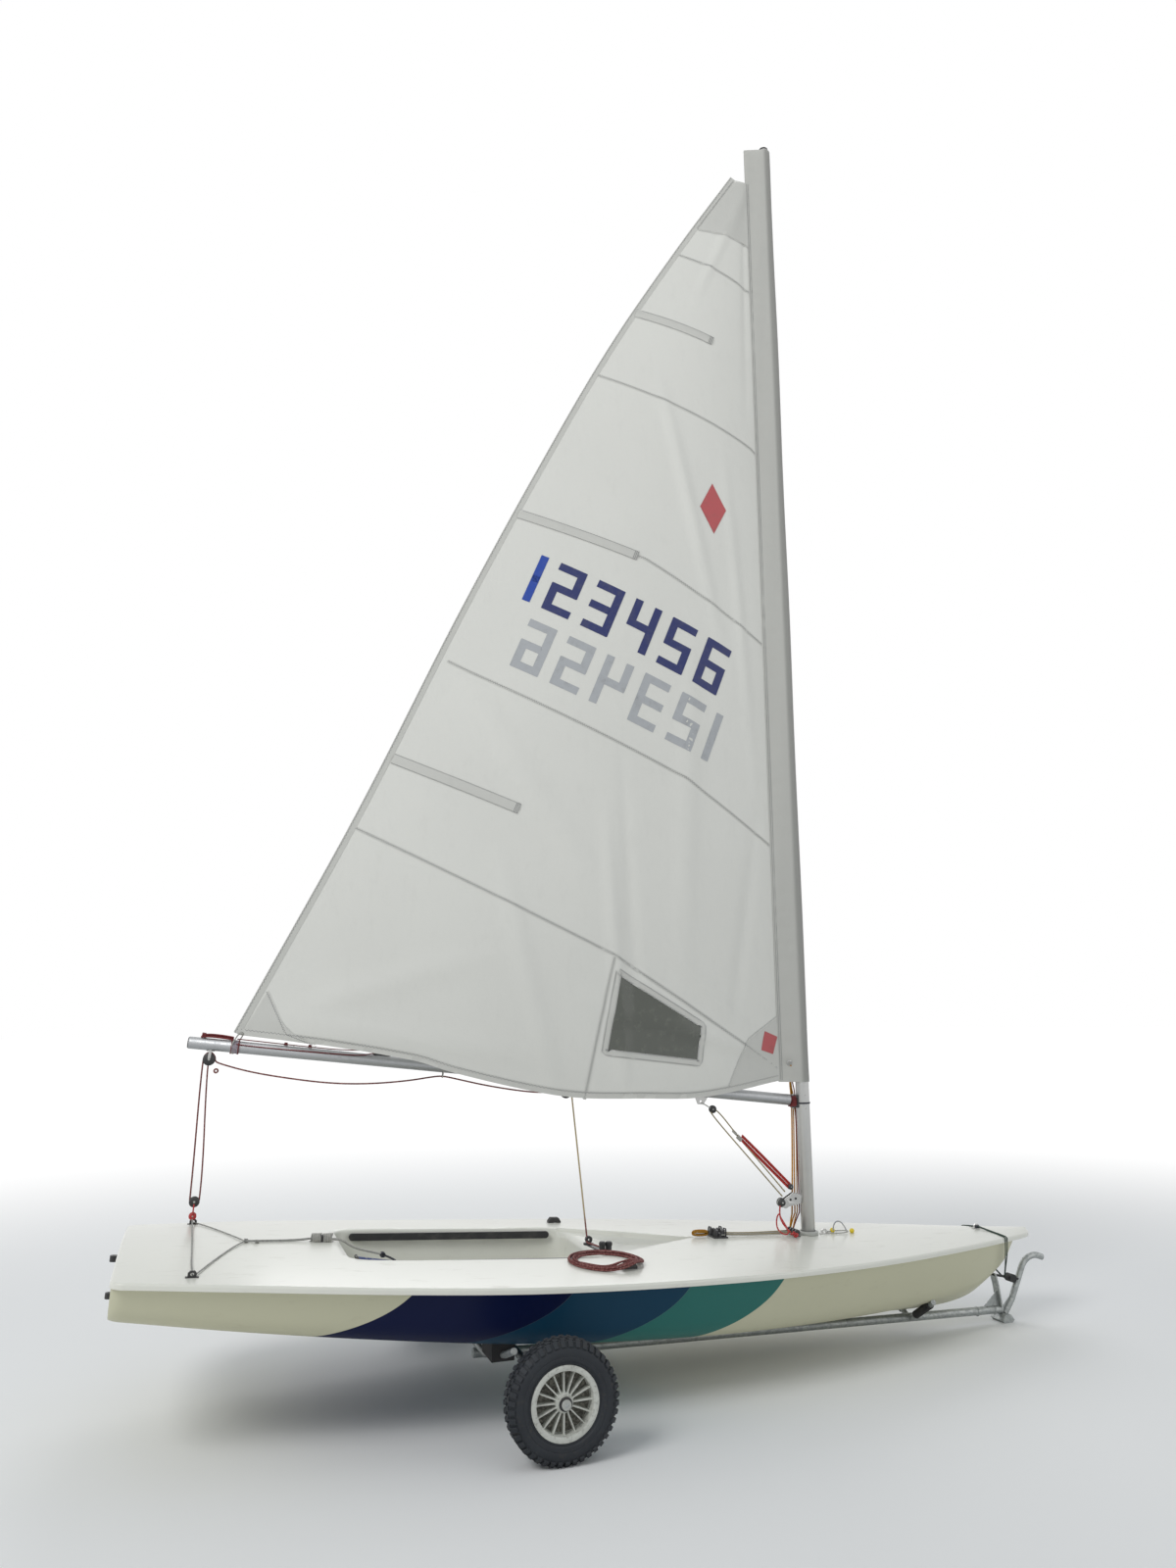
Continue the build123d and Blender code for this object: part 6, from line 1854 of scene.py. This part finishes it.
class OBJECT_OT_dinghy_wheels(bpy.types.Operator):
    """Makes the two wheels: tyres with tread blocks, spoked rims and hub caps"""
    bl_idname = "object.dinghy_wheels"
    bl_label = "Wheels"

    def execute(self, context):
        depth = context.scene.dinghy_sizes.tread
        for name, y in (("port", 1), ("starboard", -1)):
            at, body = wheel_place(y), "wheel_" + name
            bm = bmesh.new()
            turned(bm, TYRE_SIDE + [(r, -h) for r, h in reversed(TYRE_SIDE[:-1])], at, steps=128)
            add(f"tyre_{name}_carcass", bm, "tyre_rubber", body, smooth=32.0, node="tyre_" + name)
            bm = bmesh.new()
            tread_blocks(bm, at, depth)
            add(f"tyre_{name}_tread", bm, "tyre_rubber", body, smooth=30.0)

            bm = bmesh.new()
            turned(bm, RIM_RING, at, steps=128)
            add(f"rim_{name}_shell", bm, "rim_plastic", body, smooth=32.0, node="rim_" + name)
            bm = bmesh.new()
            for k in range(SPOKES):
                plate(bm, SPOKE_SIDE, 0.0052, at @ Matrix.Rotation(2 * math.pi * k / SPOKES, 4, "Z"), 0.0014)
            turned(bm, HUB_RING, at, steps=64)
            add(f"rim_{name}_spokes", bm, "rim_plastic", body, 32.0)
            bm = bmesh.new()
            # Dark discs and bars in the cells between the spokes: painted shade in the recesses, flecked with
            # dirt
            turned(bm, CELL_SHADE_RING, at, steps=96)
            for k in range(SPOKES):
                cell = at @ Matrix.Rotation(2 * math.pi * (k + 0.5) / SPOKES, 4, "Z") @ moved(0.072, 0,
                                            0.0014)
                bar(bm, (0.036, 0.0012, 0.003), cell, 0.0004, 1)
            add(f"rim_{name}_cells", bm, "rim_cells_painted_shade", body, 32.0)
            bm = bmesh.new()
            turned(bm, COLLAR_RING, at, steps=48)
            add(f"hub_{name}_collar", bm, "black_plastic", body, smooth=32.0)
        return {"FINISHED"}


# Half rounds of weld metal on the post's and the axle's tubes, and the nut on the axle
POST_WELD = [(0.0180, 0.0035), (0.0216, 0.0022), (0.0224, 0.0), (0.0216, -0.0022), (0.0180, -0.0035)]
AXLE_WELD = [(0.0145, 0.0035), (0.0176, 0.0020), (0.0182, 0.0), (0.0176, -0.0020), (0.0145, -0.0035)]
NUT_RING = [(0.0, 0.0605), (0.0055, 0.0605), (0.0090, 0.0590), (0.0100, 0.0565), (0.0100, 0.0520),
            (0.0, 0.0520)]


class OBJECT_OT_dinghy_trolley(bpy.types.Operator):
    """Dresses the launching trolley: galvanised tubes with weld beads, rubber pads and bolts"""
    bl_idname = "object.dinghy_trolley"
    bl_label = "Trolley"

    def execute(self, context):
        for row in DRESSED_TROLLEY:
            dressed(*row)
        bm = bmesh.new()
        for x, z in ((3.985, 0.055), (3.885, 0.0565)):
            turned(bm, POST_WELD, GROUND @ moved(x, 0, z) @ spun(90, "Y"), steps=40)
        for y in (-1, 1):
            for out in (0.070, 0.520):
                turned(bm, AXLE_WELD, GROUND @ moved(WHEEL_X, y * out, WHEEL_Z) @ spun(90, "X"), steps=32)
        add("trolley_welds", bm, "galvanised", HULL_BODY, smooth=60.0)
        bm = bmesh.new()
        for y in (-0.019, 0.019):
            for x in (WHEEL_X - 0.042, WHEEL_X + 0.042):
                rod(bm, GROUND @ Vector((x, y, WHEEL_Z - 0.060)), GROUND @ Vector((x, y, WHEEL_Z - 0.068)),
                    0.0065, 6)
        add("trolley_bolts", bm, "stainless", HULL_BODY, smooth=35.0)
        for name, y in (("port", 1), ("starboard", -1)):
            bm = bmesh.new()
            turned(bm, NUT_RING, wheel_place(y) @ moved(0, 0, -0.0008), steps=6, closed=False)
            add("axle_nut_" + name, bm, "galvanised", HULL_BODY, smooth=30.0)
        return {"FINISHED"}


class VIEW3D_PT_dinghy(bpy.types.Panel):
    """Lists the dinghy's colours, sizes and steps in the 3D view's sidebar"""
    bl_label = "Sailing dinghy"
    bl_space_type = "VIEW_3D"
    bl_region_type = "UI"
    bl_category = "Dinghy"

    def draw(self, context):
        for group in (context.scene.dinghy_colours, context.scene.dinghy_sizes):
            for name in type(group).__annotations__:
                self.layout.prop(group, name)
        for kind in STEPS:
            self.layout.operator(kind.bl_idname)


STEPS = [
    OBJECT_OT_dinghy_camera, OBJECT_OT_dinghy_cords, OBJECT_OT_dinghy_stage, OBJECT_OT_dinghy_hull,
    OBJECT_OT_dinghy_sail, OBJECT_OT_dinghy_sleeve, OBJECT_OT_dinghy_spars, OBJECT_OT_dinghy_fittings,
    OBJECT_OT_dinghy_cockpit, OBJECT_OT_dinghy_sheet, OBJECT_OT_dinghy_controls, OBJECT_OT_dinghy_wheels,
    OBJECT_OT_dinghy_trolley,
]
CLASSES = [DinghyColours, DinghySizes, *STEPS, VIEW3D_PT_dinghy]


def register():
    for kind in CLASSES:
        bpy.utils.register_class(kind)
    bpy.types.Scene.dinghy_colours = bpy.props.PointerProperty(type=DinghyColours)
    bpy.types.Scene.dinghy_sizes = bpy.props.PointerProperty(type=DinghySizes)


def unregister():
    del bpy.types.Scene.dinghy_sizes
    del bpy.types.Scene.dinghy_colours
    for kind in reversed(CLASSES):
        bpy.utils.unregister_class(kind)


def main():
    register()
    for kind in STEPS:
        group, name = kind.bl_idname.split(".")
        getattr(getattr(bpy.ops, group), name)()


if __name__ == "__main__":
    main()
